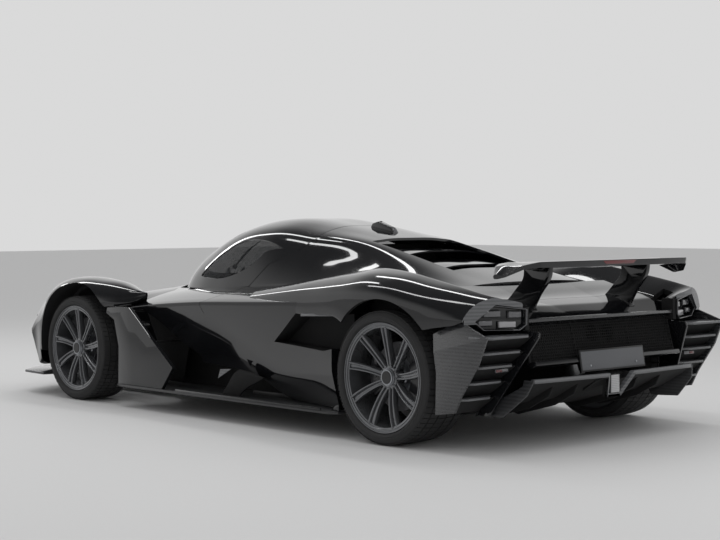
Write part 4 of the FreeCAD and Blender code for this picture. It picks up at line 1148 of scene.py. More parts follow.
@dataclass
class Nose:
    """The low nose between the fenders, with its duct and the splitter under it."""

    # station, low z, low y, waist z, waist y, side z, shoulder y, shoulder z, top z
    sections: tuple = ((2418, 222, 200, 250, 225, 285, 160, 308, 316),
                       (2250, 172, 420, 220, 470, 345, 360, 405, 428),
                       (2060, 150, 540, 200, 580, 425, 450, 500, 532),
                       (1850, 150, 540, 200, 580, 505, 440, 578, 606),
                       (1760, 150, 460, 220, 475, 540, 400, 605, 634),
                       (1425, 150, 440, 220, 475, 590, 370, 655, 686),
                       (1122, 150, 440, 220, 490, 640, 360, 705, 726))
    splitter_line: tuple = ((2425, 0), (2400, 260), (2300, 560), (2180, 800), (2060, 945), (1815, 955),
                            (1790, 780), (1770, 500), (1700, 440))
    # station, then y and z of three points across
    cowl: tuple = ((1124, 175, 713, 360, 706, 490, 650), (980, 374, 713, 440, 707, 500, 692),
                   (874, 462, 712, 484, 709, 500, 705))

    def build(self) -> None:
        """Build the nose and the splitter."""
        rows = []
        for w, low, low_y, waist, waist_y, side_z, shoulder_y, shoulder_z, top in self.sections:
            half = [(low_y, low), (waist_y, waist), (waist_y, side_z), (shoulder_y, shoulder_z)]
            rows.append(row(w, [(0, low)] + half + [(0, top)] + [(-y, z) for y, z in reversed(half)]))
        creases = {1: 0.02, 2: 0.02, 3: 0.035, 7: 0.035, 8: 0.02, 9: 0.02}
        nose = Skin(rows, creases, {1: 0.05, 4: 0.03}, True, 5, 5).solid("Nose")
        duct = plank([(2440, 228), (2440, 292), (2330, 300), (2330, 240)], -0.150, 0.150)
        notch = drum(0.026, -0.1, 0.1, HINGE, 32)
        cowls = []
        for sign in (1, -1):
            ledge = []
            for w, *spots in self.cowl:
                upper = [(sign * y, z) for y, z in zip(spots[::2], spots[1::2])]
                ledge.append(row(w, (upper + [(y, z - 12) for y, z in reversed(upper)])[::sign]))
            cowls.append(Skin(ledge, {k: 0.002 for k in range(6)}, {}, True, 3, 5).solid("Cowl"))
        carve(nose, cowls, Cut.JOIN)
        carve(coated(nose, BLACK), [duct, notch], inside=LINER)
        dress(smooth(nose), BLACK, "chassis", "nose_cone")
        half = stations(self.splitter_line)
        plan = half + [(x, -y) for x, y in reversed(half) if y > 0]
        plate = prism(plan, "Z", 0.1315, 0.1485, "Splitter")
        keep = station_block((1650, -1.0, 0.05), (2460, 1.0, 0.1495))
        carve(plate, [keep], Cut.KEEP)
        dress(ease(plate, 0.004), CARBON, "chassis", "splitter")


@dataclass
class FrontFender:
    """The arch over a front wheel, whose tail runs out to a point over the side pod."""

    # station, inner and outer offset from the wheel's middle, low z, side z, crown z, inner z
    sections: tuple = ((2160, -245, -30, 185, 235, 275, 262), (2060, None, 62, 185, 400, 470, 440),
                       (1965, None, 72, 185, 492, 622, 585), (1850, None, 108, 240, 520, 700, 660),
                       (1735, -245, 126, 400, 642, 742, 695), (1620, -235, 132, 480, 700, 768, 712),
                       (1435, -225, 132, 500, 722, 779, 718), (1250, -205, 126, 500, 690, 767, 706),
                       (1120, -175, 110, 600, 658, 752, 698), (1000, -120, 78, 608, 648, 728, 690),
                       (905, -72, 30, 630, 655, 706, 684), (862, -50, -30, 668, 680, 696, 690))
    well: float = 0.388
    arch: float = 0.415
    # station and z in the plane of the fender's side, from which they run slanted in and forward
    prow: tuple = ((2052, 700), (2052, 469), (2029, 392), (1985, 298), (1919, 183), (1865, 100), (2500, 100),
                   (2500, 700))
    air_gap: tuple = ((1905, 300), (1840, 283), (1836, 200), (1885, 191))
    prow_turn: float = 48.0

    def swept(self, outline: Pairs) -> Piece:
        """Raise an outline in the plane of the fender's side along the slant."""
        turn = math.radians(self.prow_turn)
        way = Vector((math.cos(turn), -math.sin(turn), 0))
        flat = [Vector((place(w), 0.9, z * MM)) for w, z in outline]
        return slab("cutter", [p - way * 0.12 for p in flat], [p + way * 0.32 for p in flat])

    def build(self) -> None:
        """Build both fenders."""
        rows = []
        for w, inner, outer, low, side_z, crown, inner_z in self.sections:
            y_in = 580.3 if inner is None else 845 + inner
            y_out = 845 + outer
            wide = y_out - y_in
            rows.append(row(w, [
                (y_in, low), (y_out - 8, low), (y_out, (low + side_z) / 2), (y_out - 6, side_z),
                (y_out - 0.16 * wide, side_z + 0.62 * (crown - side_z)), (y_out - 0.45 * wide, crown),
                (y_in + 0.12 * wide, inner_z + 0.5 * (crown - inner_z)), (y_in, inner_z)]))
        fender = Skin(rows, {0: 0.006, 1: 0.006, 7: 0.012}, {}, True, 6, 6).solid("Front_Fender_Left")
        well = drum(self.well, -0.33, 0.3, FRONT_AXLE, 128)
        lamp = plank([(2102, 360), (2025, 520), (1985, 505), (2060, 345)], 0.650, 0.875)
        arch = drum(self.arch, -0.045, 0.155, FRONT_AXLE, 128)
        carve(fender, [self.swept(self.prow), self.swept(self.air_gap)])
        carve(coated(fender, BLACK), [well, arch, lamp], inside=LINER)
        both(smooth(fender, 26), BLACK, "chassis", "front_fenders")


@dataclass
class SidePod:
    """The shoulder with its sharp belt over the undercut side, the channel and the intake."""

    # station, low z, low y inset, middle y inset, middle z, belt inset, belt z, shoulder y, shoulder z, top z
    sections: tuple = ((945, 140, 265, 200, 300, 110, 606, 600, 684, 704),
                       (750, 140, 265, 205, 300, 113, 627, 592, 708, 720),
                       (190, 140, 265, 225, 280, 85, 668, 605, 746, 746),
                       (-220, 140, 223, 163, 280, 67, 684, 608, 768, 768),
                       (-600, 140, 185, 105, 280, 50, 700, 615, 780, 780),
                       (-1030, 140, 85, 25, 350, 28, 722, 620, 787, 788))
    undercut: tuple = ((1000, 560), (880, 590), (810, 600), (674, 535), (488, 414), (352, 342), (346, 298),
                       (-75, 284), (-300, 240), (-520, 140))
    # station, y of the shut line from the canopy's foot out to the belt
    shut: tuple = ((75, 590), (78, 737), (134, 834), (222, 930))
    intake: tuple = ((-480, 473), (-590, 550), (-700, 632), (-778, 690), (-800, 690), (-790, 636),
                     (-1045, 646), (-1045, 470), (-950, 452))

    def build(self) -> None:
        """Build both side pods."""
        rows = []
        for w, low, low_in, mid_in, mid, belt_in, belt, shoulder_y, shoulder, top in self.sections:
            rows.append(row(w, [
                (500.3, low), (985 - low_in, low), (985 - mid_in, mid), (985 - belt_in, belt - 22),
                (985 - belt_in, belt), (shoulder_y, shoulder), (500.3, top)]))
        creases = {0: 0.004, 1: 0.02, 2: 0.03, 3: 0.002, 4: 0.0025, 6: 0.004}
        pod = Skin(rows, creases, {}, True, 6, 8).solid("Side_Pod_Left")
        low_edge = stations(self.undercut)
        under = prism(low_edge + [(place(-520), 0), (place(1000), 0)], "Y", 0.62, 1.2)
        intake = plank(self.intake, 0.795, 1.2)
        bay = plank([(-500, 200), (-500, 700), (-1060, 700), (-1060, 200)], 0.495, 0.695)
        carve(coated(pod, BLACK), [under, intake, bay], inside=LINER)
        line = stations(self.shut)
        slit = prism(line + [(x - 0.006, y - 0.002) for x, y in reversed(line)], "Z", 0.60, 0.80)
        carve(pod, [slit], inside=LINER)
        # the intake's lip takes the lighter carbon: a painted highlight along its edge
        lip = plank([(-776, 629), (-780, 644), (-1042, 656), (-1042, 641)], 0.940, 0.957, "Lip")
        pod = join("Side_Pod_Left", [smooth(pod, 24), coated(lip, CARBON_PAINTED_HIGHLIGHT, 0.002)])
        both(pod, BLACK, "chassis", "sidepods")


@dataclass
class Greenhouse:
    """The canopy with its panes, and the engine cover with its louvres behind the seam."""

    # station, top z, y and z of three points down the side, foot y, foot z
    sections: tuple = ((1088, 731, 50, 731, 100, 730, 150, 728, 190, 724),
                       (980, 846, 140, 836, 260, 802, 340, 762, 390, 722),
                       (874, 930, 200, 915, 350, 868, 430, 802, 480, 722),
                       (657, 1046, 240, 1030, 390, 972, 490, 870, 562, 724),
                       (410, 1124, 260, 1108, 415, 1044, 512, 922, 596, 732),
                       (110, 1153, 270, 1135, 425, 1066, 522, 940, 603, 752),
                       (-220, 1118, 250, 1104, 405, 1046, 508, 924, 604, 772),
                       (-600, 1052, 225, 1045, 375, 1018, 492, 900, 608, 784),
                       (-930, 980, 250, 972, 385, 947, 515, 865, 612, 790),
                       (-1220, 902, 285, 896, 420, 874, 545, 822, 620, 784),
                       (-1570, 815, 290, 811, 455, 801, 565, 782, 620, 764))
    seam: tuple = ((108, 640), (108, 752), (61, 800), (-12, 882), (-200, 968), (-283, 1040), (-283, 1300))
    screen: tuple = ((1030, 70), (985, 215), (880, 318), (700, 362), (440, 392))
    window: tuple = ((678, 798), (560, 905), (348, 1008), (34, 1008), (-77, 975), (53, 955), (128, 885),
                     (319, 806))
    skin: float = 0.012
    shut: float = 0.006

    def envelope(self, name: str, thick: float, first: int = 0, sink: float = 0.0) -> Piece:
        """Build the wall of the whole greenhouse from one of its sections on.

        Args:
            name: The piece's name.
            thick: The wall, inwards.
            first: The first section.
            sink: How far the feet run down.

        Returns:
            The closed wall.
        """
        rows = []
        for w, top, y1, z1, y2, z2, y3, z3, foot_y, foot_z in self.sections[first:]:
            half = [(foot_y, foot_z), (y3, z3), (y2, z2), (y1, z1)]
            if sink:
                half.insert(0, (foot_y, foot_z - sink))
            rows.append(arch(w, half, top))
        creases = {1: 0.01, len(rows[0]) - 2: 0.01} if sink else {}
        return Skin(rows, creases, {}, False, 6, 7).shell(name, thick)

    def side_of_seam(self, ahead: bool) -> Piece:
        """Give the region on one side of the seam.

        Args:
            ahead: Whether it is the canopy's side.

        Returns:
            The closed region.
        """
        line = stations(self.seam)
        if ahead:
            return prism(line + [(place(1200), 1.3), (place(1200), 0.64)], "Y", -1, 1)
        line = [(x - self.shut, z) for x, z in line]
        return prism(line + [(place(-2000), 1.3), (place(-2000), 0.64)], "Y", -1, 1)

    def openings(self, inset: float) -> list[Piece]:
        """Give the windows' cutters.

        Args:
            inset: How far they are drawn in.

        Returns:
            The cutters of the screen and of the left and right windows.
        """
        half = [(x, y - inset) for x, y in stations(self.screen)]
        half[0] = (half[0][0] - inset, half[0][1])
        half[-1] = (half[-1][0] + inset, half[-1][1])
        plan = half + [(x, -y) for x, y in reversed(half)]
        corners = {0: 0.03, len(half) - 1: 0.03, len(half): 0.03, len(plan) - 1: 0.03}
        screen = prism(outline_run(plan, corners, 6), "Z", 0.74, 1.3)
        pairs = stations(self.window)
        middle = Vector((sum(p[0] for p in pairs) / len(pairs), sum(p[1] for p in pairs) / len(pairs)))
        inner = []
        for x, z in pairs:
            run = Vector((x, z)) - middle
            spot = middle + run * (1 - inset * 1.6 / run.length)
            inner.append((spot.x, spot.y))
        line = outline_run(inner, {0: 0.02, 4: 0.008}, 6)
        left = prism(line, "Y", 0.4, 0.8)
        right = prism(line, "Y", -0.8, -0.4)
        return [screen, left, right]

    def build(self) -> None:
        """Build the canopy, its panes and the engine cover."""
        shell = self.envelope("Canopy_Frame", self.skin)
        carve(shell, [self.side_of_seam(True)], Cut.KEEP)
        carve(shell, self.openings(0.0))
        arms = []
        for low in (-0.070, 0.052):
            arms.append(prism([(HINGE.x, HINGE.z - 0.003), (place(980), HINGE.z - 0.003), (place(985), 0.832),
                               (place(1020), 0.792), (HINGE.x, HINGE.z + 0.009)], "Y", low, low + 0.018))
        eye = drum(0.009, -0.070, 0.070, HINGE, 32)
        frame = join("Canopy_Frame", [shell, *arms, eye])
        dress(smooth(frame, 28), BLACK, "canopy", "canopy_frame")
        panes = self.envelope("Pane", 0.006)
        names = ("Windscreen", "Side_Window_Left", "Side_Window_Right")
        for cutter, name in zip(self.openings(0.0025), names):
            pane = carve(copy_of(panes, name), [cutter], Cut.KEEP)
            dress(smooth(pane, 28), GLASS, "canopy", "canopy_glass")
        discard(panes)
        self.engine_cover()

    def spine(self, station: float) -> float:
        """Give the height of the spine.

        Args:
            station: Where along the car.

        Returns:
            The height in millimetres.
        """
        line = [(s[0], s[1]) for s in self.sections if s[0] <= -220]
        for (w0, z0), (w1, z1) in zip(line, line[1:]):
            if station >= w1 or w1 == line[-1][0]:
                return z0 + (z1 - z0) * (station - w0) / (w1 - w0)
        return 0.0

    def engine_cover(self) -> None:
        """Build the engine cover and its louvres."""
        cover = self.envelope("Engine_Cover", 0.014, 3, 40)
        carve(cover, [self.side_of_seam(False)], Cut.KEEP)
        first, pitch, count, half = -660, 265, 3, 320
        end = first - (count - 1) * pitch - pitch * 0.42
        carve(cover, [block((place(end), -half * MM, 0.5), (place(first), half * MM, 1.3))])
        slats = []
        for i in range(count):
            start = first - i * pitch
            stop = start - pitch if i + 1 < count else end
            rows = []
            for share in (0.0, 0.2, 0.5, 1.0):
                w = start + 45 + (stop - start - 45) * share
                drop = (60 * (1 - share) ** 1.4 + 14) if share < 1 else 12
                crown = self.spine(w) - drop
                rows.append(row(w, [(-half - 1, crown - 22), (-half * 0.6, crown - 4), (0, crown),
                                    (half * 0.6, crown - 4), (half + 1, crown - 22)][::-1]))
            slats.append(Skin(rows, {}, {}, False, 6, 5).shell("Slat", 0.008))
        whole = join("Engine_Cover", [cover, *slats])
        dress(smooth(whole, 28), BLACK, "chassis", "engine_cover")


@dataclass
class RearFender:
    """The rear haunch with its ridge, hollow over the wheel, and the vent in its inner slope."""

    # station, inner z, ridge offset, ridge z, outer offset, shoulder z, low z
    sections: tuple = ((-225, 742, -60, 752, 40, 706, 650), (-570, 764, -50, 803, 92, 738, 650),
                       (-820, 778, -45, 842, 122, 752, 636), (-1050, 786, -42, 873, 148, 770, 644),
                       (-1250, 784, -40, 895, 163, 788, 560), (-1430, 776, -38, 882, 167, 788, 560),
                       (-1650, 760, -34, 845, 163, 750, 590), (-1860, 730, -20, 808, 148, 705, 625),
                       (-2000, 704, -24, 780, 126, 676, 640), (-2072, 738, -36, 766, 96, 668, 640))
    well: float = 0.402

    def body(self, name: str, skin: float) -> Piece:
        """Build the solid of the left fender.

        Args:
            name: The piece's name.
            skin: How far it is drawn in, in millimetres.

        Returns:
            The closed solid.
        """
        rows = []
        for w, inner_z, ridge, ridge_z, outer, shoulder_z, low in self.sections:
            y_in, y_out, y_ridge = 626 + skin, 830 + outer - skin, 830 + ridge
            deep = 200 if skin else 0
            rows.append(row(w, [
                (y_in, low - deep), (y_out - 4, low - deep), (y_out, (low + shoulder_z) / 2),
                (y_out - 8, shoulder_z - skin),
                (y_ridge + 0.6 * (y_out - y_ridge), shoulder_z + 0.62 * (ridge_z - shoulder_z) - skin),
                (y_ridge, ridge_z - skin), (y_in + 0.35 * (y_ridge - y_in),
                                            inner_z + 0.4 * (ridge_z - inner_z) - skin),
                (y_in, inner_z - skin)]))
        return Skin(rows, {0: 0.004, 1: 0.004, 5: 0.003, 7: 0.01}, {}, True, 6, 6).solid(name)

    def build(self) -> None:
        """Build both rear fenders."""
        shell = self.body("Rear_Fender_Left", 0)
        hollow = self.body("cutter", 25)
        carve(hollow, [station_block((-1985, 0, 0), (-1010, 1.1, 1.0))], Cut.KEEP)
        well = drum(self.well, -0.185, 0.5, REAR_AXLE, 128)
        vent = plank([(-1905, 700), (-1915, 760), (-1990, 742), (-1975, 700)], 0.600, 0.721)
        hood = [(-1962, 1010), (-2050, 794), (-2071, 700), (-2071, 600), (-2200, 600), (-2200, 1010)]
        carve(coated(shell, BLACK), [hollow, well, vent], inside=LINER)
        # the faces left by the hood's and the lamp's cuts take the lighter carbon: a painted highlight band
        carve(shell, [prism(stations(hood), "Z", 0.5, 0.9),
                      Lamps().hexagon(0.99, 0.98, -80.0, 90.0, "cutter")], inside=CARBON_PAINTED_HIGHLIGHT)
        both(smooth(shell, 26), BLACK, "chassis", "rear_fenders")


@dataclass
class Wing:
    """The rear wing with its down-turned tips and its lit strip."""

    # y, station of the nose, station of the tail, z of the tail
    sections: tuple = ((0, -1862, -2177, 942), (420, -1862, -2177, 942), (590, -1870, -2160, 941),
                       (655, -1912, -2118, 926), (724, -1965, -2050, 874))

    def build(self) -> None:
        """Build the blade and the strip."""
        whole = [(-y, n, t, z) for y, n, t, z in reversed(self.sections) if y] + list(self.sections)
        rows = []
        for y, nose, tail, z in whole:
            chord = nose - tail
            thick = 34 if abs(y) < 600 else 24
            lead = z - 0.10 * chord
            ring = [(tail, z), (tail + 0.45 * chord, z - 0.03 * chord + 2),
                    (nose - 0.16 * chord, lead + thick * 0.55),
                    (nose, lead + 4), (nose - 0.03 * chord, lead - 8),
                    (nose - 0.22 * chord, lead - thick * 0.45),
                    (tail + 0.40 * chord, z - 0.055 * chord - thick * 0.4), (tail + 5, z - 0.10 * chord)]
            rows.append([Vector((place(w), y * MM, h * MM)) for w, h in ring])
        folds = {k: 0.004 for k in (1, 2, 6, 7)}
        blade = Skin(rows, {0: 0.001, 7: 0.001}, folds, True, 5, 6).solid("Blade")
        lamp = prism([(-0.135, 0.938), (0.135, 0.938), (0.112, 0.920), (-0.112, 0.920)], "X", place(-2179),
                     place(-2170), "Strip")
        whole = join("Rear_Wing", [coated(smooth(blade, 34), BLACK), coated(lamp, LAMP_RED, 0.0008)])
        dress(whole, BLACK, "chassis", "rear_wing")


@dataclass
class Wheel:
    """One axle's wheels: tyres with their tread, rims with nine twin spokes, drilled discs."""

    end: str
    centre: Vector
    radius: float
    width: float
    seat: float
    recess: float
    disc_radius: float
    pitches: int = 68
    vanes: int = 48
    spokes: int = 9
    lip: float = 0.007

    @property
    def half(self) -> float:
        """Half the width between the beads."""
        return self.width / 2 - 0.020

    @property
    def face(self) -> float:
        """How far the rim's outer face lies from the wheel's middle."""
        return self.half + self.lip

    def turned(self, name: str, profile: Pairs, steps: int = 120) -> Piece:
        """Turn a closed (radius, y) profile about the axle.

        Args:
            name: The piece's name.
            profile: The profile in metres.
            steps: Divisions round the axle.

        Returns:
            The closed piece.
        """
        points = []
        for k in range(steps):
            a = math.tau * k / steps
            points += [self.centre + Vector((r * math.sin(a), y, r * math.cos(a))) for r, y in profile]
        return tidy(new_piece(name, points, lattice(steps, len(profile))))

    def tyre(self) -> Piece:
        """Build the left tyre: its carcass, and its tread repeated round it."""
        r, s, h, b = self.radius, self.seat, self.width / 2, self.half
        side = [(s, b), (s + 0.018, b + 0.001), (s + 0.0205, b + 0.010), (s + 0.025, h - 0.004),
                (s + 0.030, h - 0.0005),
                (s + 0.035, h), (s + 0.0365, h - 0.0025), (r - 0.032, h - 0.0015), (r - 0.0305, h - 0.004),
                (r - 0.029, h - 0.0045), (r - 0.027, h - 0.006), (r - 0.018, h - 0.010),
                (r - 0.010, h - 0.018), (r - 0.0065, h - 0.028), (r - 0.0062, 0.0)]
        profile = side + [(a, -y) for a, y in reversed(side[:-1])]
        carcass = self.turned("Carcass", profile, 128)
        half_tread = h - 0.016
        ribs = ((-1.0, -0.66), (-0.61, -0.25), (-0.20, 0.20), (0.25, 0.61), (0.66, 1.0))
        sides = ((0, 1, 5, 4), (2, 6, 7, 3), (0, 4, 6, 2), (1, 3, 7, 5), (0, 2, 3, 1), (4, 5, 7, 6))
        span = math.tau / self.pitches
        points, faces = [], []
        for rib in ribs:
            base = len(points)
            for y_share in rib:
                drop = 0.0 if abs(y_share) < 0.7 else 0.0045
                for lift in (-0.008, -drop):
                    for edge in (0.07, 0.93):
                        a = (edge - 0.5) * span + 0.55 * span * abs(y_share)
                        reach = r + lift
                        points.append(Vector((reach * math.sin(a), y_share * half_tread,
                                              reach * math.cos(a))))
            faces += [tuple(base + v for v in quad) for quad in sides]
        blocks = tidy(new_piece("Blocks", points, faces))
        growth = ring_growth("Tread_Round", TYRE.material())
        growth.grow(blocks, Count=self.pitches, Centre=tuple(self.centre))
        carcass.data.materials.append(TYRE.material())
        return join(f"Tyre_{self.end}_Left", [smooth(carcass, 35), blocks])

    def spoke(self, offset_hub: float, offset_rim: float, sink: float, wide: float) -> Piece:
        """Build one blade of a twin spoke, pointing up, about the origin.

        Args:
            offset_hub: Its place beside the middle line at the hub.
            offset_rim: Its place beside the middle line at the rim.
            sink: How far it lies behind the rim's face.
            wide: Its width.

        Returns:
            The closed blade.
        """
        rows = []
        start, reach = 0.040, self.seat - 0.007
        for t in (0.0, 0.12, 0.3, 0.5, 0.7, 0.88, 1.0):
            r = start + (reach - start) * t
            x = offset_hub + (offset_rim - offset_hub) * t - 0.032 * t * (1 - t)
            dip = self.recess * (1 - t) ** 1.35 + 0.006 + sink
            top = self.face - dip
            deep = 0.034 * (1 - t) + 0.024 * t
            w = wide * (1.15 - 0.35 * math.sin(math.pi * min(t * 1.05, 1)))
            rows.append([Vector((x + a * w, top - d, r)) for a, d in (
                (-0.30, 0.0), (0.30, 0.0), (0.50, 0.004), (0.62, deep), (-0.62, deep), (-0.50, 0.004))])
        return Skin(rows, {3: 0.001, 4: 0.001}, {}, True, 2, 3).solid("Blade")

    def rim(self) -> Piece:
        """Build the left rim."""
        s, b, f = self.seat, self.half, self.face
        profile = [(s - 0.0003, b + 0.0003), (s - 0.0003, -b - 0.0003), (s + 0.017, -b - 0.0003),
                   (s + 0.017, -b - 0.006), (s - 0.012, -b - 0.007), (s - 0.020, -b + 0.030),
                   (s - 0.024, b - 0.080),
                   (s - 0.019, b - 0.040), (s - 0.013, f - 0.020), (s - 0.0125, f - 0.011),
                   (s - 0.006, f - 0.009),
                   (s - 0.0045, f - 0.004), (s + 0.000, f - 0.003), (s + 0.0015, f - 0.006),
                   (s + 0.009, f - 0.0055),
                   (s + 0.0105, f - 0.001), (s + 0.0140, f), (s + 0.0168, f - 0.002), (s + 0.017, b + 0.0003)]
        barrel = self.turned("Barrel", profile, 128)
        blades = [self.spoke(-0.010, -0.017, 0.0, 0.0125), self.spoke(0.010, 0.015, 0.004, 0.0115)]
        web = self.spoke(0.0, -0.001, 0.013, 0.026)
        bolt_spot = Vector((0.0, self.face - self.recess - 0.004, 0.057))
        bolt = drum(0.0048, -0.012, 0.004, ORIGIN, 12, "Bolt")
        turn = Matrix.Rotation(math.pi / self.spokes, 4, "Y")
        bolt.data.transform(turn @ Matrix.Translation(bolt_spot))
        one = join("Twin_Spoke", [*blades, web, bolt])
        growth = ring_growth("Spokes_Round", RIM.material())
        growth.grow(one, Count=self.spokes, Centre=tuple(self.centre))
        top = f - self.recess
        hub = self.turned("Hub", [(0.0, top - 0.050), (0.068, top - 0.050), (0.066, top - 0.018),
                                  (0.060, top - 0.006), (0.050, top - 0.003), (0.0, top - 0.003)], 64)
        lock = self.turned("Lock", [(0.0, top - 0.004), (0.047, top - 0.004), (0.047, top + 0.004),
                                    (0.0455, top + 0.006),
                                    (0.0425, top + 0.006), (0.0415, top + 0.012), (0.040, top + 0.0135),
                                    (0.034, top + 0.0135), (0.0335, top + 0.011), (0.0, top + 0.011)], 64)
        cap = self.turned("Cap", [(0.0, top + 0.008), (0.0325, top + 0.008), (0.0325, top + 0.0145),
                                  (0.031, top + 0.016), (0.0, top + 0.016)], 64)
        for piece, finish in ((barrel, RIM), (hub, RIM), (lock, METAL), (cap, SATIN)):
            piece.data.materials.append(finish.material())
        for piece in (barrel, hub, lock, cap):
            smooth(piece, 28)
        return join(f"Rim_{self.end}_Left", [barrel, smooth(one, 40), hub, lock, cap])

    def disc(self) -> Piece:
        """Build the left disc with its bell, its holes and its vanes."""
        back = self.face - self.recess - 0.0523
        middle = back - 0.042
        reach = self.disc_radius
        plates = []
        for low, high in ((middle + 0.006, middle + 0.016), (middle - 0.016, middle - 0.006)):
            outline = [(0.105, low), (reach, low), (reach, high), (0.105, high)]
            plates.append(self.turned("Plate", outline, 72))
        holes = []
        for ring, (radius, count) in enumerate(((reach - 0.015, 30), (reach - 0.032, 30),
                                                (reach - 0.049, 24))):
            for k in range(count):
                a = math.tau * (k + 0.33 * ring) / count
                spot = self.centre + Vector((radius * math.sin(a), middle, radius * math.cos(a)))
                holes.append(drum(0.0033, -0.02, 0.02, spot, 8))
        cutter = join("Holes", holes)
        for plate in plates:
            carve(plate, [cutter], keep_cutters=True)
        discard(cutter)
        vane = prism([(-0.0015, 0.110), (0.0015, 0.110), (0.006, reach - 0.006), (0.003, reach - 0.006)], "Y",
                     middle - 0.007, middle + 0.007, "Vane")
        growth = ring_growth("Vanes_Round", DISC.material())
        growth.grow(vane, Count=self.vanes, Centre=tuple(self.centre))
        bell = self.turned("Bell", [(0.0, back), (0.070, back), (0.076, back - 0.006),
                                    (0.078, middle + 0.010),
                                    (0.112, middle + 0.008), (0.112, middle - 0.008), (0.072, middle - 0.010),
                                    (0.066, back - 0.012), (0.0295, back - 0.014), (0.0295, middle - 0.120),
                                    (0.0, middle - 0.120)], 64)
        for piece in (*plates, bell):
            piece.data.materials.append((METAL if piece is bell else DISC).material())
            smooth(piece, 30)
        return join(f"Disc_{self.end}_Left", [*plates, vane, bell])

    def build(self) -> None:
        """Build both wheels of the axle."""
        for piece, finish, node in ((self.tyre(), TYRE, "tyre"), (self.rim(), RIM, "rim"),
                                    (self.disc(), DISC, "brake_disc")):
            both(piece, finish, f"wheel_{self.end.lower()}_{{}}", f"{node}_{self.end.lower()}_{{}}")


def leaned(table: Pairs, foot_y: float, top_z: float, lean: float, thick: float, name: str) -> Piece:
    """Make a plate along the car that leans out downwards."""
    faces = ([Vector((place(w), (foot_y + (top_z - z) * lean + side) * MM, z * MM)) for w, z in table]
             for side in (0, thick))
    return slab(name, *faces)


def coated(piece: Piece, finish: Finish, width: float = 0.0, segments: int = 2) -> Piece:
    """Give a piece one finish before it is joined with others.

    Args:
        piece: The piece.
        finish: Its finish.
        width: The bevel of its edges; none where it is 0.
        segments: The bevel's steps.

    Returns:
        The same piece.
    """
    if width:
        ease(piece, width, segments)
    piece.data.materials.clear()
    piece.data.materials.append(finish.material())
    return piece


def panel_growth(name: str, material: bpy.types.Material) -> Growth:
    """Build a tree that repeats its piece in staggered rows over a leaning panel.

    Args:
        name: The tree's name.
        material: The material of the result.

    Returns:
        The tree, with the inputs Rows, Count, Pitch, Rise, Slope and Origin.
    """
    growth = Growth(name)
    rows = growth.ask("Rows", "Int", 10)
    count = growth.ask("Count", "Int", 100)
    pitch = growth.ask("Pitch", "Float", 0.016)
    rise = growth.ask("Rise", "Float", 0.014)
    slope = growth.ask("Slope", "Float", 0.0)
    origin = growth.ask("Origin", "Vector", (0.0, 0.0, 0.0))

    def reckon(operation: str, a: object, b: object, c: object = 0.0) -> Socket:
        """Add one step of arithmetic."""
        return growth.add("ShaderNodeMath", {"operation": operation}, {0: a, 1: b, 2: c})

    index = growth.add("GeometryNodeInputIndex", {}, {})
    column = reckon("FLOOR", reckon("DIVIDE", reckon("ADD", index, 0.5), rows), 0.0)
    level = reckon("SUBTRACT", index, reckon("MULTIPLY", column, rows))
    odd = reckon("MODULO", level, 2.0)
    y = reckon("MULTIPLY", reckon("MULTIPLY_ADD", odd, 0.5, column), pitch)
    z = reckon("MULTIPLY", level, rise)
    spot = growth.add("ShaderNodeCombineXYZ", {}, {"X": reckon("MULTIPLY", z, slope), "Y": y, "Z": z})
    there = growth.add("ShaderNodeVectorMath", {"operation": "ADD"}, {0: spot, 1: origin})
    dots = growth.add("GeometryNodePoints", {}, {"Count": count, "Position": there})
    cell = growth.inputs.outputs[0]
    copies = growth.add("GeometryNodeInstanceOnPoints", {}, {"Points": dots, "Instance": cell})
    growth.close(copies, material)
    return growth


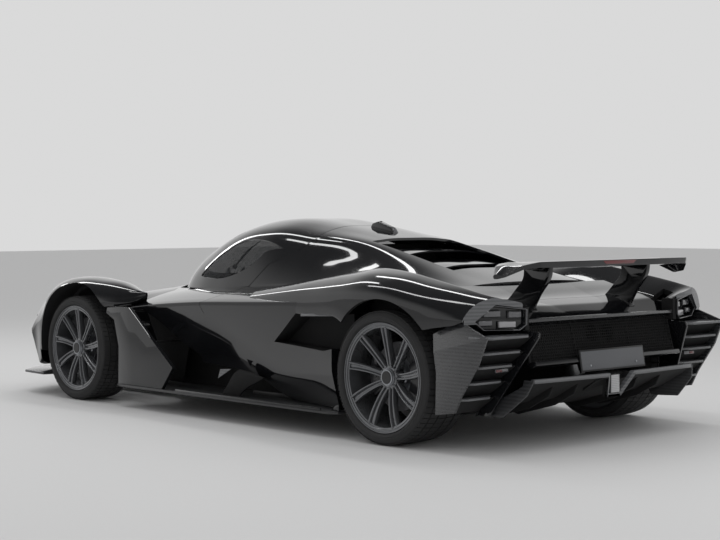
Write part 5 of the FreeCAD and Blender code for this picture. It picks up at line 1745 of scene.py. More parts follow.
@dataclass
class RearCorner:
    """The carbon panel behind a rear wheel, with five slats and the long slanted strake inboard of them."""

    # station, y, z of the outer face: the upper facet, then the lower one; they share two corners
    upper: tuple = ((-1771, 950, 586), (-1940, 942, 658), (-2144, 962, 584), (-1788, 965, 500))
    lower: tuple = ((-1788, 965, 500), (-2144, 962, 584), (-2089, 965, 452), (-1978, 965, 292),
                    (-1933, 965, 208), (-1801, 965, 188), (-1806, 965, 396))
    strake: tuple = ((-1990, 600), (-2154, 594), (-2160, 570), (-1955, 175), (-1875, 175))
    strake_lean: float = 0.336
    # z, station of the rear edge
    slats: tuple = ((585, -2150), (510, -2118), (441, -2086), (360, -2037), (280, -1990))

    def panel(self) -> Piece:
        """Build the carbon panel of two facets."""
        spots: list[tuple[float, float, float]] = []
        loops = []
        for facet in (self.upper, self.lower):
            loop = []
            for spot in facet:
                if spot not in spots:
                    spots.append(spot)
                loop.append(spots.index(spot))
            loops.append(loop)
        outer = [Vector((place(w), y * MM, z * MM)) for w, y, z in spots]
        inner = [p - Vector((0, 0.014, 0)) for p in outer]
        base = len(outer)
        faces = [tuple(loop) for loop in loops] + [tuple(base + v for v in loop[::-1]) for loop in loops]
        sides = {(a, b) for loop in loops for a, b in zip(loop, loop[1:] + loop[:1])}
        faces += [(a, b, base + b, base + a) for a, b in sides if (b, a) not in sides]
        return ease(tidy(new_piece("Panel", outer + inner, faces)), 0.0022, 2, 4.0)

    def build(self) -> None:
        """Build both corners."""
        parts = [coated(self.panel(), CARBON)]
        strake = leaned(self.strake, 586, 600, self.strake_lean, 14, "Strake")
        parts.append(coated(strake, BLACK, 0.003))
        for z, rear in self.slats:
            inner_y = 595 + (600 - z) * self.strake_lean
            plan = [(rear + 62, inner_y), (rear, inner_y + 72), (rear, 923), (rear + 34, 961),
                    (rear + 130, 961), (rear + 135, inner_y)]
            slat = prism(stations(plan), "Z", (z - 12) * MM, z * MM, "Slat")
            # each slat takes the lighter carbon: a painted highlight for its bright edge
            parts.append(coated(slat, CARBON_PAINTED_HIGHLIGHT, 0.003, 3))
            # the dark web that runs forward and down from each slat
            web = prism([(place(rear + 128), (z - 4) * MM), (place(rear + 26), (z - 10) * MM),
                         (place(rear + 120), (z - 84) * MM), (place(rear + 130), (z - 84) * MM)], "Y",
                        (inner_y + 16) * MM, 0.950, "Web")
            parts.append(coated(web, LINER))
        reflector = station_block((-2058, 0.716, 0.404), (-2052, 0.806, 0.421), "Reflector")
        red = station_block((-2060, 0.762, 0.406), (-2054, 0.802, 0.419), "Reflector_Red")
        parts += [coated(reflector, LAMP_GREY, 0.002), coated(red, LAMP_RED, 0.0015)]
        both(join("Rear_Corner_Left", parts), CARBON, "chassis", "rear_corners")


@dataclass
class Tail:
    """The grille between the lamps with its two bars, the blank plate and the exhaust tips."""

    half: float = 0.5857
    top_bar: tuple = ((-1965, 631), (-1986, 649), (-2064, 658), (-2074, 640), (-2040, 618))
    low_bar: tuple = ((-2050, 418), (-2050, 436), (-2120, 448), (-2128, 428), (-2100, 412))
    # station and z of the mesh's top and foot
    mesh_top: tuple[float, float] = (-2030, 636)
    mesh_foot: tuple[float, float] = (-2086, 432)
    pitch: float = 0.0165
    bar: float = 0.0016
    plate_size: tuple[float, float, float] = (0.006, 0.520, 0.112)
    plate_lean: float = 10.0
    tip_start: Vector = field(default_factory=lambda: Vector((-1.747, 0, 0.425)))
    tip_end: Vector = field(default_factory=lambda: Vector((place(-2000), 0, 0.545)))

    @property
    def tip_turn(self) -> Matrix:
        """The turn that lays an upright pipe along the exhaust tips."""
        return (self.tip_end - self.tip_start).to_track_quat("Z", "Y").to_matrix().to_4x4()

    def mesh(self) -> Piece:
        """Build the honeycomb, one cell repeated over the panel."""
        slope = (self.mesh_top[0] - self.mesh_foot[0]) / (self.mesh_top[1] - self.mesh_foot[1])
        radius = self.pitch / math.sqrt(3)
        points, faces = [], []
        for k in range(6):
            a = math.tau * (k + 0.5) / 6
            for reach in (radius - self.bar, radius + 0.0001):
                for depth in (0.0, -0.005):
                    y, z = reach * math.cos(a), reach * math.sin(a)
                    points.append(Vector((depth + z * slope, y, z)))
        for k in range(6):
            a, b = 4 * k, 4 * ((k + 1) % 6)
            faces += [(a, b, b + 2, a + 2), (a + 1, a + 3, b + 3, b + 1), (a, a + 1, b + 1, b)]
        cell = tidy(new_piece("Grille_Mesh", points, faces))
        rise = self.pitch * math.sqrt(3) / 2
        rows = int((self.mesh_top[1] - self.mesh_foot[1]) * MM / rise)
        columns = int((2 * self.half - 0.03) / self.pitch)
        origin = (place(self.mesh_foot[0]) + 0.002, -columns * self.pitch / 2, (self.mesh_foot[1] + 6) * MM)
        growth = panel_growth("Honeycomb", LINER.material())
        return growth.grow(cell, Rows=rows, Count=rows * columns, Pitch=self.pitch, Rise=rise, Slope=slope,
                           Origin=origin)

    def build(self) -> None:
        """Build the grille, the plate and the tips."""
        bars = []
        for name, table, finish in (("Top", self.top_bar, BLACK), ("Low", self.low_bar, BLACK)):
            bars.append(coated(plank(table, -self.half, self.half, name), finish, 0.004, 3))
        (top, high), (foot, low) = self.mesh_top, self.mesh_foot
        post_line = [(top - 1, high), (top + 11, high), (foot + 11, low), (foot - 1, low)]
        posts = []
        for y in (-self.half + 0.004, -0.22, 0.22, self.half - 0.004):
            post = plank(post_line, y - 0.004, y + 0.004, "Post")
            posts.append(coated(post, LINER))
        # the dark wall behind the mesh, open round the tips
        wall_line = [(top + 8, high), (top + 12, high), (foot + 12, low), (foot + 8, low)]
        wall = plank(wall_line, -self.half, self.half, "Wall")
        collar = station_block((-2026, -0.135, 0.480), (-1975, 0.135, 0.626), "Collar")
        carve(wall, [collar], Cut.JOIN)
        pipes = []
        for y in (-0.062, 0.062):
            bore = prism(circle(0.0482, 48), "Z", -0.2, 0.2)
            bore.data.transform(Matrix.Translation(self.tip_end + Vector((0, y, 0))) @ self.tip_turn)
            pipes.append(bore)
        posts.append(carve(coated(wall, LINER), pipes))
        # a second strip just under the deck
        edge = plank([(-2066, 657), (-2073, 655), (-2076, 641), (-2072, 641)], -self.half, self.half, "Edge")
        dress(join("Tail_Grille", [*bars, *posts, coated(edge, CARBON, 0.001), self.mesh()]), BLACK,
              "chassis", "tail_frame")
        self.plate()
        self.tips()

    def plate(self) -> None:
        """Build the blank plate in its frame, seated on the low bar's edge."""
        thick, wide, tall = self.plate_size
        board = ease(block((0, 0, 0), (thick, wide, tall), "Board"), 0.0015)
        rim = block((-0.0012, 0.004, 0.004), (0.002, wide - 0.004, tall - 0.004), "Rim")
        face = block((-0.0018, 0.009, 0.009), (0.001, wide - 0.009, tall - 0.009), "Face")
        bolts = []
        for y in (0.075, wide - 0.075):
            bolt = prism(circle(0.006, 12, y, 0.030), "X", -0.0045, 0.001, "Bolt")
            bolts.append(coated(bolt, METAL, 0.0008))
        whole = join("Number_Plate", [coated(board, SATIN), coated(rim, SATIN, 0.0008),
                                      coated(face, PLATE, 0.0006), *bolts])
        lean = rotation(self.plate_lean, "Y")
        touch = lean @ Vector((thick + 0.0003, wide / 2, 0.48 * tall))
        whole.data.transform(Matrix.Translation(Vector((place(-2128), 0, 0.428)) - touch) @ lean)
        dress(whole, PLATE, "chassis", "number_plate")

    def tips(self) -> None:
        """Build the two exhaust tips and the pipes that lead to them."""
        tips = []
        for y in (-0.062, 0.062):
            profile = [(0.0470, 0.0), (0.0475, 0.002), (0.0475, 0.075), (0.044, 0.085), (0.044, 0.40),
                       (0.0405, 0.40), (0.0405, 0.082), (0.0445, 0.072), (0.0445, 0.003), (0.0455, 0.0)]
            points = []
            sides = 48
            for k in range(sides):
                a = math.tau * k / sides
                for r, back in profile:
                    spot = self.tip_turn @ Vector((r * math.cos(a), r * math.sin(a), -back))
                    points.append(self.tip_end + Vector((0, y, 0)) + spot)
            tips.append(smooth(tidy(new_piece("Tip", points, lattice(sides, len(profile)))), 30))
        dress(join("Exhaust_Tips", tips), EXHAUST, "chassis", "exhaust_tips")


@dataclass
class Lamps:
    """Head lamps in the fenders' fronts, tail lamps of four modules, and the rain lamp in the diffuser."""

    # y and z of the tail lamp's corners
    housing: tuple = ((606, 712), (608, 630), (646, 601), (850, 606), (903, 651), (797, 736))
    # low and high y, low and high z of each module
    modules: tuple = ((741, 830, 673, 702, 0), (605, 696, 667, 697, 0), (785, 872, 630, 655, 0),
                      (658, 748, 614, 648, 1))

    @staticmethod
    def back(y: float) -> float:
        """Give the station of the tail lamp's rear face at a y."""
        return -2088 + (y - 606) * 0.31

    def hexagon(self, share_y: float, share_z: float, near: float, far: float, name: str) -> Piece:
        """Make a block of the lamp's outline, shrunk about its middle.

        Args:
            share_y: Its share of the lamp's width.
            share_z: Its share of the lamp's height.
            near: Its first depth behind the lamp's rear face, in millimetres.
            far: Its last depth.
            name: The piece's name.

        Returns:
            The closed block.
        """
        mid_y = sum(y for y, z in self.housing) / 6
        mid_z = sum(z for y, z in self.housing) / 6
        return slab(name, *([Vector((place(self.back(y) + depth), (mid_y + (y - mid_y) * share_y) * MM,
                                     (mid_z + (z - mid_z) * share_z) * MM)) for y, z in self.housing]
                            for depth in (near, far)))

    def tail(self) -> Piece:
        """Build the left tail lamp."""
        body = self.hexagon(0.985, 0.975, 0.0, 70.0, "Housing")
        carve(body, [self.hexagon(0.90, 0.86, -20.0, 34.0, "Pocket")])
        cheek = prism([(place(-2078), 0.5865), (place(-2078), 0.614), (place(-2000), 0.614),
                       (place(-2000), 0.5865)], "Z", 0.603, 0.716, "Cheek")
        parts = [coated(body, BLACK, 0.0025, 3), coated(cheek, LINER, 0.002)]
        # painted highlight: a thin light grey frame round the lamp stands for the housing's edge catching the
        # light
        frame = self.hexagon(0.955, 0.935, -2.5, 6.0, "Outline")
        carve(frame, [self.hexagon(0.925, 0.895, -20.0, 30.0, "Inside")])
        parts.append(coated(frame, LAMP_GREY, 0.0008))
        for low_y, high_y, low_z, high_z, lit in self.modules:
            low_y, high_y = max(low_y, 628), min(high_y, 858)
            low_z, high_z = max(low_z, 619), min(high_z, 704)
            for name, near, far, grow, finish in (("Bezel", 24, 36, 3, SATIN),
                                                  ("Lens", 16, 32, 0, LAMP_LIT if lit else LAMP_GREY)):
                part = block((near * MM, (low_y - grow) * MM, (low_z - grow) * MM),
                             (far * MM, (high_y + grow) * MM, (high_z + grow) * MM), name)
                ease(part, 0.003 - 0.001 * (name == "Bezel"), 3)
                for v in part.data.vertices:
                    v.co.x += place(self.back(v.co.y / MM))
                parts.append(coated(part, finish))
        return join("Tail_Lamp_Left", parts)

    def head(self) -> Piece:
        """Build the left head lamp: a dark bowl behind a clear slanted lens, with two projectors."""
        outline = [(2096, 366), (2022, 516), (1988, 502), (2062, 350)]
        body = plank(outline, 0.652, 0.872, "Bowl")
        carve(body, [FrontFender().swept(FrontFender().prow)])
        parts = [coated(body, LAMP_DARK, 0.003)]
        for y in (0.690, 0.750, 0.802):
            lens = drum(0.021, -0.018, 0.018, ORIGIN, 32, "Projector")
            turn = rotation(90, "Z")
            lean = rotation(24, "Y")
            lens.data.transform(Matrix.Translation((place(2056), y, 0.437)) @ lean @ turn)
            parts.append(coated(lens, LAMP_GREY, 0.004, 3))
        bar = plank([(2098, 372), (2094, 380), (2088, 378), (2092, 368)], 0.660, 0.790, "Day_Bar")
        parts.append(coated(bar, LAMP_LIT, 0.001))
        return join("Head_Lamp_Left", parts)

    def build(self) -> None:
        """Build all lamps."""
        both(self.tail(), LAMP_GREY, "chassis", "lamps")
        both(self.head(), LAMP_GREY, "chassis", "lamps")
        case = station_block((-2149, -0.0375, 0.2525), (-2119, 0.0375, 0.3515), "Case")
        lens = station_block((-2152, -0.034, 0.256), (-2140, 0.034, 0.348), "Lens")
        rain = join("Rain_Lamp", [coated(case, SATIN, 0.002), coated(lens, LAMP_CLEAR, 0.003, 3)])
        dress(rain, LAMP_GREY, "chassis", "lamps")


@dataclass
class Diffuser:
    """The ramp under the tail, its folded lip with the notch for the rain lamp, its fins and its fences."""

    ramp: tuple = ((-1400, 118), (-1700, 156), (-1950, 228), (-2150, 340))
    fence: tuple = ((-1830, 200), (-1960, 250), (-2100, 330), (-2100, 360), (-2165, 360), (-2140, 285),
                    (-2020, 175), (-1840, 165))
    fin: tuple = ((-1600, 150), (-1700, 162), (-1950, 236), (-2112, 326), (-2080, 262), (-1950, 192),
                  (-1700, 124))
    # station, y, z of the lip's lower rear edge, from the middle out
    lip: tuple = ((-2143, 0, 235), (-2143, 54, 235), (-2196, 108, 345), (-2162, 640, 345))

    def build(self) -> None:
        """Build the diffuser."""
        lower = list(self.ramp)
        upper = [(w + 4, z + 16) for w, z in reversed(lower)]
        ramp = prism(stations(lower + upper), "Y", -0.650, 0.650, "Ramp")
        shelf = plank([(-2040, 262), (-2120, 322), (-2190, 340), (-2190, 356), (-2060, 360)], -0.13, 0.13,
                      "Shelf")
        carve(ramp, [shelf], Cut.JOIN)
        notch = prism([(-0.108, 0.41), (-0.108, 0.357), (-0.054, 0.235), (0.054, 0.235), (0.108, 0.357),
                       (0.108, 0.41)], "X", place(-2300), place(-2116))
        carve(ramp, [notch])
        parts = [coated(ramp, LINER, 0.002)]
        line = [Vector((place(w), y * MM, z * MM)) for w, y, z in self.lip]
        line = [Vector((p.x, -p.y, p.z)) for p in reversed(line[1:])] + line[1:]
        rows = []
        for i, p in enumerate(line):
            runs = [(line[k + 1] - line[k]) for k in (max(i - 1, 0), min(i, len(line) - 2))]
            ups = [Vector((0, -run.z, run.y)).normalized() for run in runs]
            up = (ups[0] + ups[1]).normalized()
            up *= 0.020 / up.dot(ups[0])
            rows.append([p, p + up, p + up + Vector((0.024, 0, 0)), p + Vector((0.020, 0, 0))])
        lip = Skin(rows, {k: 0.0006 for k in range(4)}, {i: 0.0008 for i in range(1, len(rows) - 1)}, True, 1,
                   4).solid("Lip")
        # the lip takes the lighter carbon: a painted highlight along its edge
        parts.append(coated(lip, CARBON_PAINTED_HIGHLIGHT, 0.002))
        skirt = []
        for i in range(len(line) - 1):
            p, q = line[i], line[i + 1]
            if abs(p.y - q.y) < 0.2:
                ring = [p, q, q + Vector((0.035, 0, 0)), p + Vector((0.035, 0, 0))]
                up = Vector((0, 0, 0.012))
                skirt.append(tidy(new_piece("Web", ring + [s + up for s in ring],
                                            [(0, 1, 2, 3), (7, 6, 5, 4), (0, 4, 5, 1), (1, 5, 6, 2),
                                             (2, 6, 7, 3), (3, 7, 4, 0)])))
        parts += [coated(piece, LINER) for piece in skirt]
        for y in (0.430, 0.235):
            for sign in (1, -1):
                low, high = sorted((sign * y, sign * (y + 0.012)))
                parts.append(coated(plank(self.fin, low, high, "Fin"), LINER, 0.003))
        fence = ease(leaned(self.fence, 638, 360, 0.36, 12, "Fence"), 0.003)
        parts += [coated(mirror_copy(fence, "Fence"), CARBON_DULL), coated(fence, CARBON_DULL)]
        dress(join("Diffuser", parts), SATIN, "chassis", "diffuser")


@dataclass
class Deck:
    """The flat deck behind the engine cover, with its slopes, its seam and the pylons that stand on it."""

    # station, z of the middle, half width of the flat middle, rise at the edge
    rows: tuple = ((-1572, 801, 300, 0), (-1640, 777, 285, 5), (-1750, 738, 272, 10), (-1810, 725, 266, 14),
                   (-1900, 703, 200, 10), (-1945, 676, 176, 4), (-1984, 651, 150, 0))
    pylon: tuple = ((-1724, 706), (-1745, 716), (-1830, 792), (-1878, 848), (-1884, 912), (-2058, 920),
                    (-2052, 862), (-1985, 770), (-1938, 690), (-1925, 664))

    def build(self) -> None:
        """Build the deck and the pylons."""
        rows = []
        for w, z, flat, rise in self.rows:
            half = [(619, z + rise), (flat + 90, z + rise * 0.25), (flat, z)]
            rows.append(arch(w, half, z + 1))
        deck = Skin(rows, {2: 0.006, 4: 0.006}, {4: 0.01}, False, 5, 5).shell("Rear_Deck", 0.014)
        seam = station_block((-1797, -0.70, 0.60), (-1794, 0.70, 0.90))
        keep = station_block((-1797, -0.70, 0.0), (-1794, 0.70, 0.712))
        carve(seam, [keep])
        carve(deck, [seam])
        dress(smooth(deck, 24), BLACK, "chassis", "rear_deck")
        line = outline_run(stations(self.pylon), {0: 0.004, 4: 0.002, 5: 0.002, 9: 0.004}, 4)
        pylon = prism(line, "Y", 0.3815, 0.4085, "Wing_Pylon_Left")
        sole = stations(((-1712, 704), (-1760, 726), (-1850, 714), (-1938, 700), (-1950, 676), (-1800, 700)))
        foot = prism(outline_run(sole, {0: 0.003, 4: 0.003}, 4), "Y", 0.373, 0.417, "Foot")
        both(join("Wing_Pylon_Left", [ease(pylon, 0.007, 3), ease(foot, 0.006, 3)]), BLACK, "chassis",
             "wing_pylons")


@dataclass
class Flank:
    """What closes the side between the wheels: the vent blade and the sill with its fin."""

    blade: tuple = ((1056, 570), (1046, 603), (900, 614), (818, 613), (591, 440), (369, 274), (480, 140),
                    (930, 140), (925, 370), (972, 531))
    recess: tuple = ((1030, 560), (900, 600), (640, 440), (430, 290), (540, 160), (910, 160), (900, 380))
    # station, y
    sill: tuple = ((965, 955), (900, 980), (-1000, 980), (-1068, 945), (-1040, 620), (880, 620))
    fin: tuple = ((20, 138), (-39, 193), (-98, 262), (-151, 296), (-270, 284), (-372, 262), (-290, 226),
                  (-214, 192), (-167, 156), (-150, 138))

    def build(self) -> None:
        """Build both sides."""
        line = outline_run(stations(self.blade), {k: 0.003 for k in range(len(self.blade))}, 3)
        blade = prism(line, "Y", 0.946, 0.970, "Vent_Blade_Left")
        carve(blade, [plank(self.recess, 0.940, 0.959)])
        strut = station_block((640, 0.622, 0.401), (700, 0.960, 0.411), "Strut")
        inner = plank([(1000, 575), (900, 588), (700, 470), (560, 370), (620, 170), (905, 170), (890, 390)],
                      0.700, 0.706, "Inner_Vane")
        pieces = [coated(blade, BLACK, 0.0025, 3), coated(strut, LINER, 0.003), coated(inner, LINER, 0.002)]
        both(join("Vent_Blade_Left", pieces), BLACK, "chassis", "vent_blades")
        plate = prism([(place(w), (y + (0.3 if y == 620 else 0)) * MM) for w, y in self.sill], "Z", 0.124,
                      0.140, "Plate")
        lip = prism([(0.968, 0.138), (0.979, 0.138), (0.9805, 0.147), (0.978, 0.153), (0.973, 0.153)], "X",
                    place(-960), place(330), "Lip")
        line = outline_run(stations(self.fin), {0: 0.004, 3: 0.004, 5: 0.004, 9: 0.004}, 6)
        fin = prism(line, "Y", 0.874, 0.884, "Fin")
        # painted highlight: a thin sheet in the lighter carbon ahead of the fin stands for a bright patch of
        # light there
        facet = plank([(17, 286), (-84, 294), (38, 232)], 0.884, 0.887, "Facet")
        rib = prism([(0.700, 0.139), (0.708, 0.139), (0.706, 0.158), (0.702, 0.158)], "X", place(-820),
                    place(-60), "Rib")
        wedge = plank([(-1000, 139), (-1064, 139), (-1064, 176), (-1040, 170)], 0.925, 0.940, "Wedge")
        pieces = [coated(plate, CARBON_DULL, 0.005, 3), coated(lip, BLACK, 0.0015),
                  coated(fin, LINER, 0.003), coated(rib, SATIN, 0.0015), coated(wedge, BLACK, 0.003),
                  coated(facet, CARBON_PAINTED_HIGHLIGHT)]
        both(join("Sill_Blade_Left", pieces), CARBON_DULL, "chassis", "sill_blades")


@dataclass
class RoofParts:
    """The camera on the roof behind the canopy, and the wiper on the screen."""

    camera: tuple = ((-318, 1092), (-340, 1124), (-395, 1134), (-500, 1098), (-530, 1060))
    wiper: tuple = ((1005, 824), (980, 847), (874, 931), (730, 1009))

    def build(self) -> None:
        """Build the camera and the wiper."""
        body = plank(self.camera, -0.022, 0.022, "Case")
        rear = plank([(-502, 1093), (-508, 1094), (-530, 1064), (-524, 1062)], -0.015, 0.015, "Rear_Pane")
        stripe = plank([(-350, 1125), (-352, 1127), (-394, 1136), (-396, 1134)], -0.010, 0.010, "Cap")
        dress(join("Roof_Camera", [coated(body, BLACK, 0.008, 3), coated(rear, LAMP_GREY, 0.001),
                                   coated(stripe, SATIN, 0.0006)]), BLACK, "chassis", "roof_camera")
        line = [(w, z + 1) for w, z in self.wiper]
        rubber = prism(stations(line + [(w, z + 6) for w, z in reversed(self.wiper)]), "Y", -0.0015, 0.0015,
                       "Rubber")
        arm_low = [(w, z + 6.5) for w, z in self.wiper[:3]] + [(800, 976)]
        arm_high = [(820, 972), (874, 941), (980, 858), (1008, 834)]
        arm = prism(stations(arm_low + arm_high), "Y", -0.0065, 0.0065, "Arm")
        cap = drum(0.016, -0.006, 0.012, ORIGIN, 32, "Cap")
        lean = rotation(52, "Y") @ rotation(90, "X")
        cap.data.transform(Matrix.Translation((place(1002), 0, 0.834)) @ lean)
        parts = [coated(rubber, TYRE), coated(arm, SATIN, 0.0022), coated(cap, SATIN, 0.003)]
        dress(join("Wiper", parts), SATIN, "canopy", "wiper")


@dataclass
class Brakes:
    """The calipers that straddle the discs: the front ones turn with the knuckles."""

    # end, wheel centre, disc radius, disc middle, direction from the axle in degrees, body
    spots: tuple = (("Front", FRONT_AXLE, 0.188, -0.0018, 180.0, "knuckle_{}"),
                    ("Rear", REAR_AXLE, 0.178, -0.0003, 0.0, "chassis"))
    spread: float = 66.0

    def build(self) -> None:
        """Build the four calipers."""
        for end, centre, radius, middle, angle, body in self.spots:
            rows = []
            for k in range(13):
                share = k / 12
                a = math.radians(angle + self.spread * (share - 0.5))
                thin = 1 - 0.30 * abs(2 * share - 1) ** 3
                ring = ((radius - 0.055, -0.036), (radius - 0.040, -0.046 * thin),
                        (radius + 0.004, -0.048 * thin),
                        (radius + 0.020, -0.036), (radius + 0.024, 0.0), (radius + 0.020, 0.034),
                        (radius + 0.004, 0.042 * thin), (radius - 0.040, 0.040 * thin),
                        (radius - 0.055, 0.030),
                        (radius - 0.052, 0.019), (radius + 0.006, 0.019), (radius + 0.006, -0.019),
                        (radius - 0.052, -0.019))
                rows.append([centre + Vector((r * math.cos(a), middle + y, r * math.sin(a))) for r,
                             y in ring])
            body_part = Skin(rows, {n: 0.001 for n in range(13)}, {}, True, 1, 2).solid("Caliper")
            parts = [coated(body_part, CALIPER, 0.003)]
            for n in range(3):
                a = math.radians(angle + self.spread * 0.26 * (n - 1))
                spot = centre + Vector(((radius - 0.020) * math.cos(a), middle,
                                        (radius - 0.020) * math.sin(a)))
                parts.append(coated(ease(drum(0.017, 0.036, 0.045, spot, 32, "Bore"), 0.002), CALIPER))
            both(join(f"Caliper_{end}_Left", parts), CALIPER, body)


@dataclass
class Cabin:
    """What shows through the dark panes: two bucket seats with pads, the dashboard and the steering wheel."""

    middle: float = 0.228
    shell: tuple = ((330, 250), (300, 292), (20, 262), (-60, 275), (-250, 640), (-330, 860), (-395, 870),
                    (-340, 600), (-190, 240), (-60, 184), (260, 184))
    wings: tuple = ((250, 300), (40, 330), (-100, 480), (-190, 660), (-250, 640), (-60, 275), (20, 262),
                    (300, 292))
    lap: tuple = ((345, 240), (300, 276), (20, 246), (-62, 262), (-262, 640), (-150, 640), (0, 420),
                  (345, 420))
    # name, then station and z of the pad's two ends on the shell, its half width, its thickness
    pads: tuple = (("Pan", (292, 290), (24, 262), 0.158, 0.040),
                   ("Back", (-50, 282), (-228, 600), 0.150, 0.040),
                   ("Head", (-268, 690), (-318, 826), 0.088, 0.034))
    dash: tuple = ((780, 600), (780, 700), (700, 716), (560, 706), (520, 660), (560, 610))
    grip: float = 0.013
    seam_pitch: float = 0.062
    seam_width: float = 0.0035
    swell: float = 0.010
    frames: int = 20
    reach: float = 0.150
    flat_foot: float = -0.105

    def seat_shell(self) -> Piece:
        """Build the left seat's hard shell."""
        half = 0.210
        body = plank(self.shell, self.middle - half, self.middle + half, "Seat_Shell_Left")
        side = plank(self.wings, self.middle - half, self.middle + half)
        carve(body, [side], Cut.JOIN)
        lap = plank(self.lap, self.middle - 0.165, self.middle + 0.165)
        low = station_block((-420, self.middle - 0.22, 0.665), (-200, self.middle - 0.095, 0.9))
        high = station_block((-420, self.middle + 0.095, 0.665), (-200, self.middle + 0.22, 0.9))
        carve(body, [lap, low, high])
        return ease(body, 0.009, 3)

    def pad(self, name: str, front: tuple[float, float], rear: tuple[float, float], half: float,
            thick: float) -> Piece:
        """Build one stuffed pad of the left seat.

        Args:
            name: Its name.
            front: Station and z of its first end, on the shell.
            rear: Station and z of its last end.
            half: Half its width.
            thick: Its thickness.

        Returns:
            The pad, blown up against its seams.
        """
        a = Vector((place(front[0]), self.middle, front[1] * MM))
        b = Vector((place(rear[0]), self.middle, rear[1] * MM))
        along = (b - a).normalized()
        up = Vector((0, 1, 0)).cross(along).normalized()
        if up.z < 0:
            up = -up
        wide = Vector((0, half, 0))
        a, b = a - up * 0.012, b - up * 0.012
        ring = [a - wide, a + wide, b + wide, b - wide]
        piece = new_piece(f"Seat_{name}_Left", ring + [p + up * thick for p in ring],
                          [(0, 1, 2, 3), (7, 6, 5, 4), (0, 4, 5, 1), (1, 5, 6, 2), (2, 6, 7, 3),
                           (3, 7, 4, 0)])
        tidy(piece)
        ease(piece, 0.011, 3)
        remesh = piece.modifiers.new("even", "REMESH")
        remesh.mode = "VOXEL"
        remesh.voxel_size = 0.006
        settle(piece)
        self.blow_up(piece, a, along, up)
        return smooth(piece, 60)

    def blow_up(self, piece: Piece, start: Vector, along: Vector, up: Vector) -> None:
        """Let the pad swell under a little pressure, held at its sewn lines.

        Args:
            piece: The pad.
            start: The middle of its first end.
            along: Its direction.
            up: The direction it faces.
        """
        sewn = piece.vertex_groups.new(name="sewn")
        rest = [v.co.copy() for v in piece.data.vertices]
        for v in piece.data.vertices:
            run = (v.co - start).dot(along)
            line = min(run % self.seam_pitch, self.seam_pitch - run % self.seam_pitch) < self.seam_width
            line = line and abs(v.co.y - self.middle) < 0.075
            side = abs(abs(v.co.y - self.middle) - 0.078) < self.seam_width
            if line or side or (v.co - start).dot(up) < 0.006:
                sewn.add([v.index], 1.0, "REPLACE")
        cloth = piece.modifiers.new("stuffing", "CLOTH")
        for key, value in (("quality", 5), ("mass", 0.3), ("use_pressure", True),
                           ("uniform_pressure_force", 4.0),
                           ("tension_stiffness", 12), ("compression_stiffness", 12), ("shear_stiffness", 6),
                           ("bending_stiffness", 0.6), ("vertex_group_mass", "sewn")):
            setattr(cloth.settings, key, value)
        cloth.settings.effector_weights.gravity = 0.0
        cloth.collision_settings.use_collision = False
        cloth.point_cache.frame_start = 1
        cloth.point_cache.frame_end = self.frames
        scene = bpy.context.scene
        for frame in range(1, self.frames + 1):
            scene.frame_set(frame)
        settle(piece)
        scene.frame_set(1)
        most = 0.0
        for v, old in zip(piece.data.vertices, rest):
            run = v.co - old
            most = max(most, run.length)
            if run.length > self.swell:
                v.co = old + run.normalized() * self.swell
        LOG.info("%s swelled by %.1f mm at most", piece.name, most / MM)
        step = piece.modifiers.new("fine", "SUBSURF")
        step.levels = step.render_levels = 1
        settle(piece)

    def build(self) -> None:
        """Build the cabin."""
        both(self.seat_shell(), CARBON, "chassis", "seats")
        for name, front, rear, half, thick in self.pads:
            pad = self.pad(name, front, rear, half, thick)
            for piece in both(pad, SUEDE, "chassis", "seats"):
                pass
        board = prism(outline_run(stations(self.dash), {0: 0.01, 5: 0.01}, 5), "Y", -0.457, 0.457, "Board")
        hood = prism(outline_run(stations([(700, 700), (690, 738), (560, 744), (505, 722), (520, 700)]),
                                 {0: 0.01, 4: 0.01}, 5), "Y", self.middle - 0.16, self.middle + 0.16, "Hood")
        screen = plank([(508, 690), (516, 720), (512, 721), (504, 691)], self.middle - 0.12,
                       self.middle + 0.12, "Screen")
        centre = prism(outline_run(stations([(560, 640), (530, 660), (380, 420), (340, 300), (420, 300)]),
                                   {0: 0.01, 3: 0.01, 4: 0.01}, 5), "Y", -0.05, 0.05, "Console")
        parts = [coated(board, SUEDE, 0.012, 3), coated(hood, SUEDE, 0.010, 3),
                 coated(screen, LAMP_DARK, 0.001), coated(centre, CARBON, 0.008, 3)]
        dress(join("Dashboard", parts), SUEDE, "chassis", "dashboard")
        self.steering_wheel()

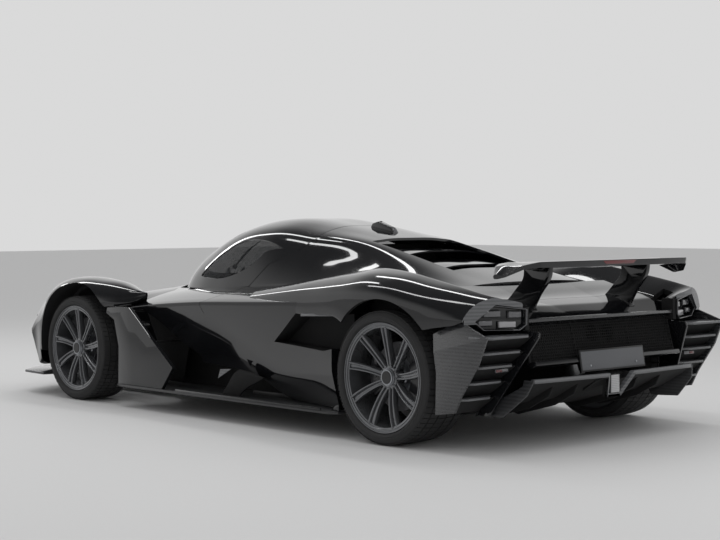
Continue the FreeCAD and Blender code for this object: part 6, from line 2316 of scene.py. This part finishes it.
    def steering_wheel(self) -> None:
        """Build the steering wheel, flat at its foot, with its column."""
        points = []
        ring, tube = 64, 12
        for i in range(ring):
            a = math.tau * i / ring
            spot = Vector((max(self.reach * math.cos(a), self.flat_foot), self.reach * math.sin(a), 0))
            out = spot.normalized()
            for across, up in circle(self.grip, tube):
                points.append(spot + out * across + Vector((0, 0, 0.9 * up)))
        rim = smooth(tidy(new_piece("Grip", points, lattice(ring, tube))), 60)
        bar = block((-0.020, -0.145, -0.006), (0.020, 0.145, 0.006), "Bar")
        stem = block((-0.100, -0.014, -0.005), (0.0, 0.014, 0.005), "Stem")
        pieces = [coated(rim, SUEDE), coated(bar, CARBON, 0.004, 3), coated(stem, CARBON, 0.003)]
        for radius, low, high, finish in ((0.042, -0.014, 0.020, SATIN), (0.020, 0.018, 0.150, SATIN)):
            hub = drum(radius, low, high, ORIGIN, 40, "Hub")
            hub.data.transform(rotation(90, "X"))
            pieces.append(coated(hub, finish, 0.003))
        whole = join("Steering_Wheel", pieces)
        whole.data.transform(Matrix.Translation((place(430), self.middle, 0.600)) @ rotation(72, "Y"))
        dress(whole, SUEDE, "chassis", "steering_wheel")


SLOT_FINISH = {"body_gloss": BLACK, "carbon": CARBON, "matte_black": SATIN, "rim_anthracite": RIM,
               "tyre": TYRE,
               "disc": DISC, "metal": METAL, "glass": GLASS, "lamp": LAMP_GREY, "plate": PLATE,
               "interior": SUEDE}


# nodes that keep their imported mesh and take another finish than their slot's
NODE_FINISH = {"suspension_arms": SATIN, "engine_block": LINER, "tub": LINER, "floor": SATIN,
               "rear_knuckles": CALIPER,
               "knuckle_left": CALIPER, "knuckle_right": CALIPER}


def dress_nodes(frame: dict) -> None:
    """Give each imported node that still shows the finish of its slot.
    """
    slots = {part["node"]: part["material_slot"] for part in frame["record"]["subparts"]}
    for name, node in frame["nodes"].items():
        finish = NODE_FINISH.get(name, SLOT_FINISH[slots[name]])
        node.data.materials.clear()
        node.data.materials.append(finish.material())


def main() -> None:
    """Build the car round its frame, and the studio round the car."""
    logging.basicConfig(level=logging.INFO, format="%(name)s %(message)s")
    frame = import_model()
    Studio().build()
    dress_nodes(frame)
    wheels = (Wheel("Front", FRONT_AXLE, 0.3305, 0.255, 0.254, 0.022, 0.188),
              Wheel("Rear", REAR_AXLE, 0.345, 0.310, 0.267, 0.048, 0.178))
    for part in (Nose(), FrontFender(), SidePod(), Greenhouse(), RearFender(), Wing(), RearCorner(), Tail(),
                 Lamps(), Diffuser(), Deck(), Flank(), RoofParts(), Cabin(), Brakes(), *wheels):
        part.build()


if __name__ == "__main__":
    main()
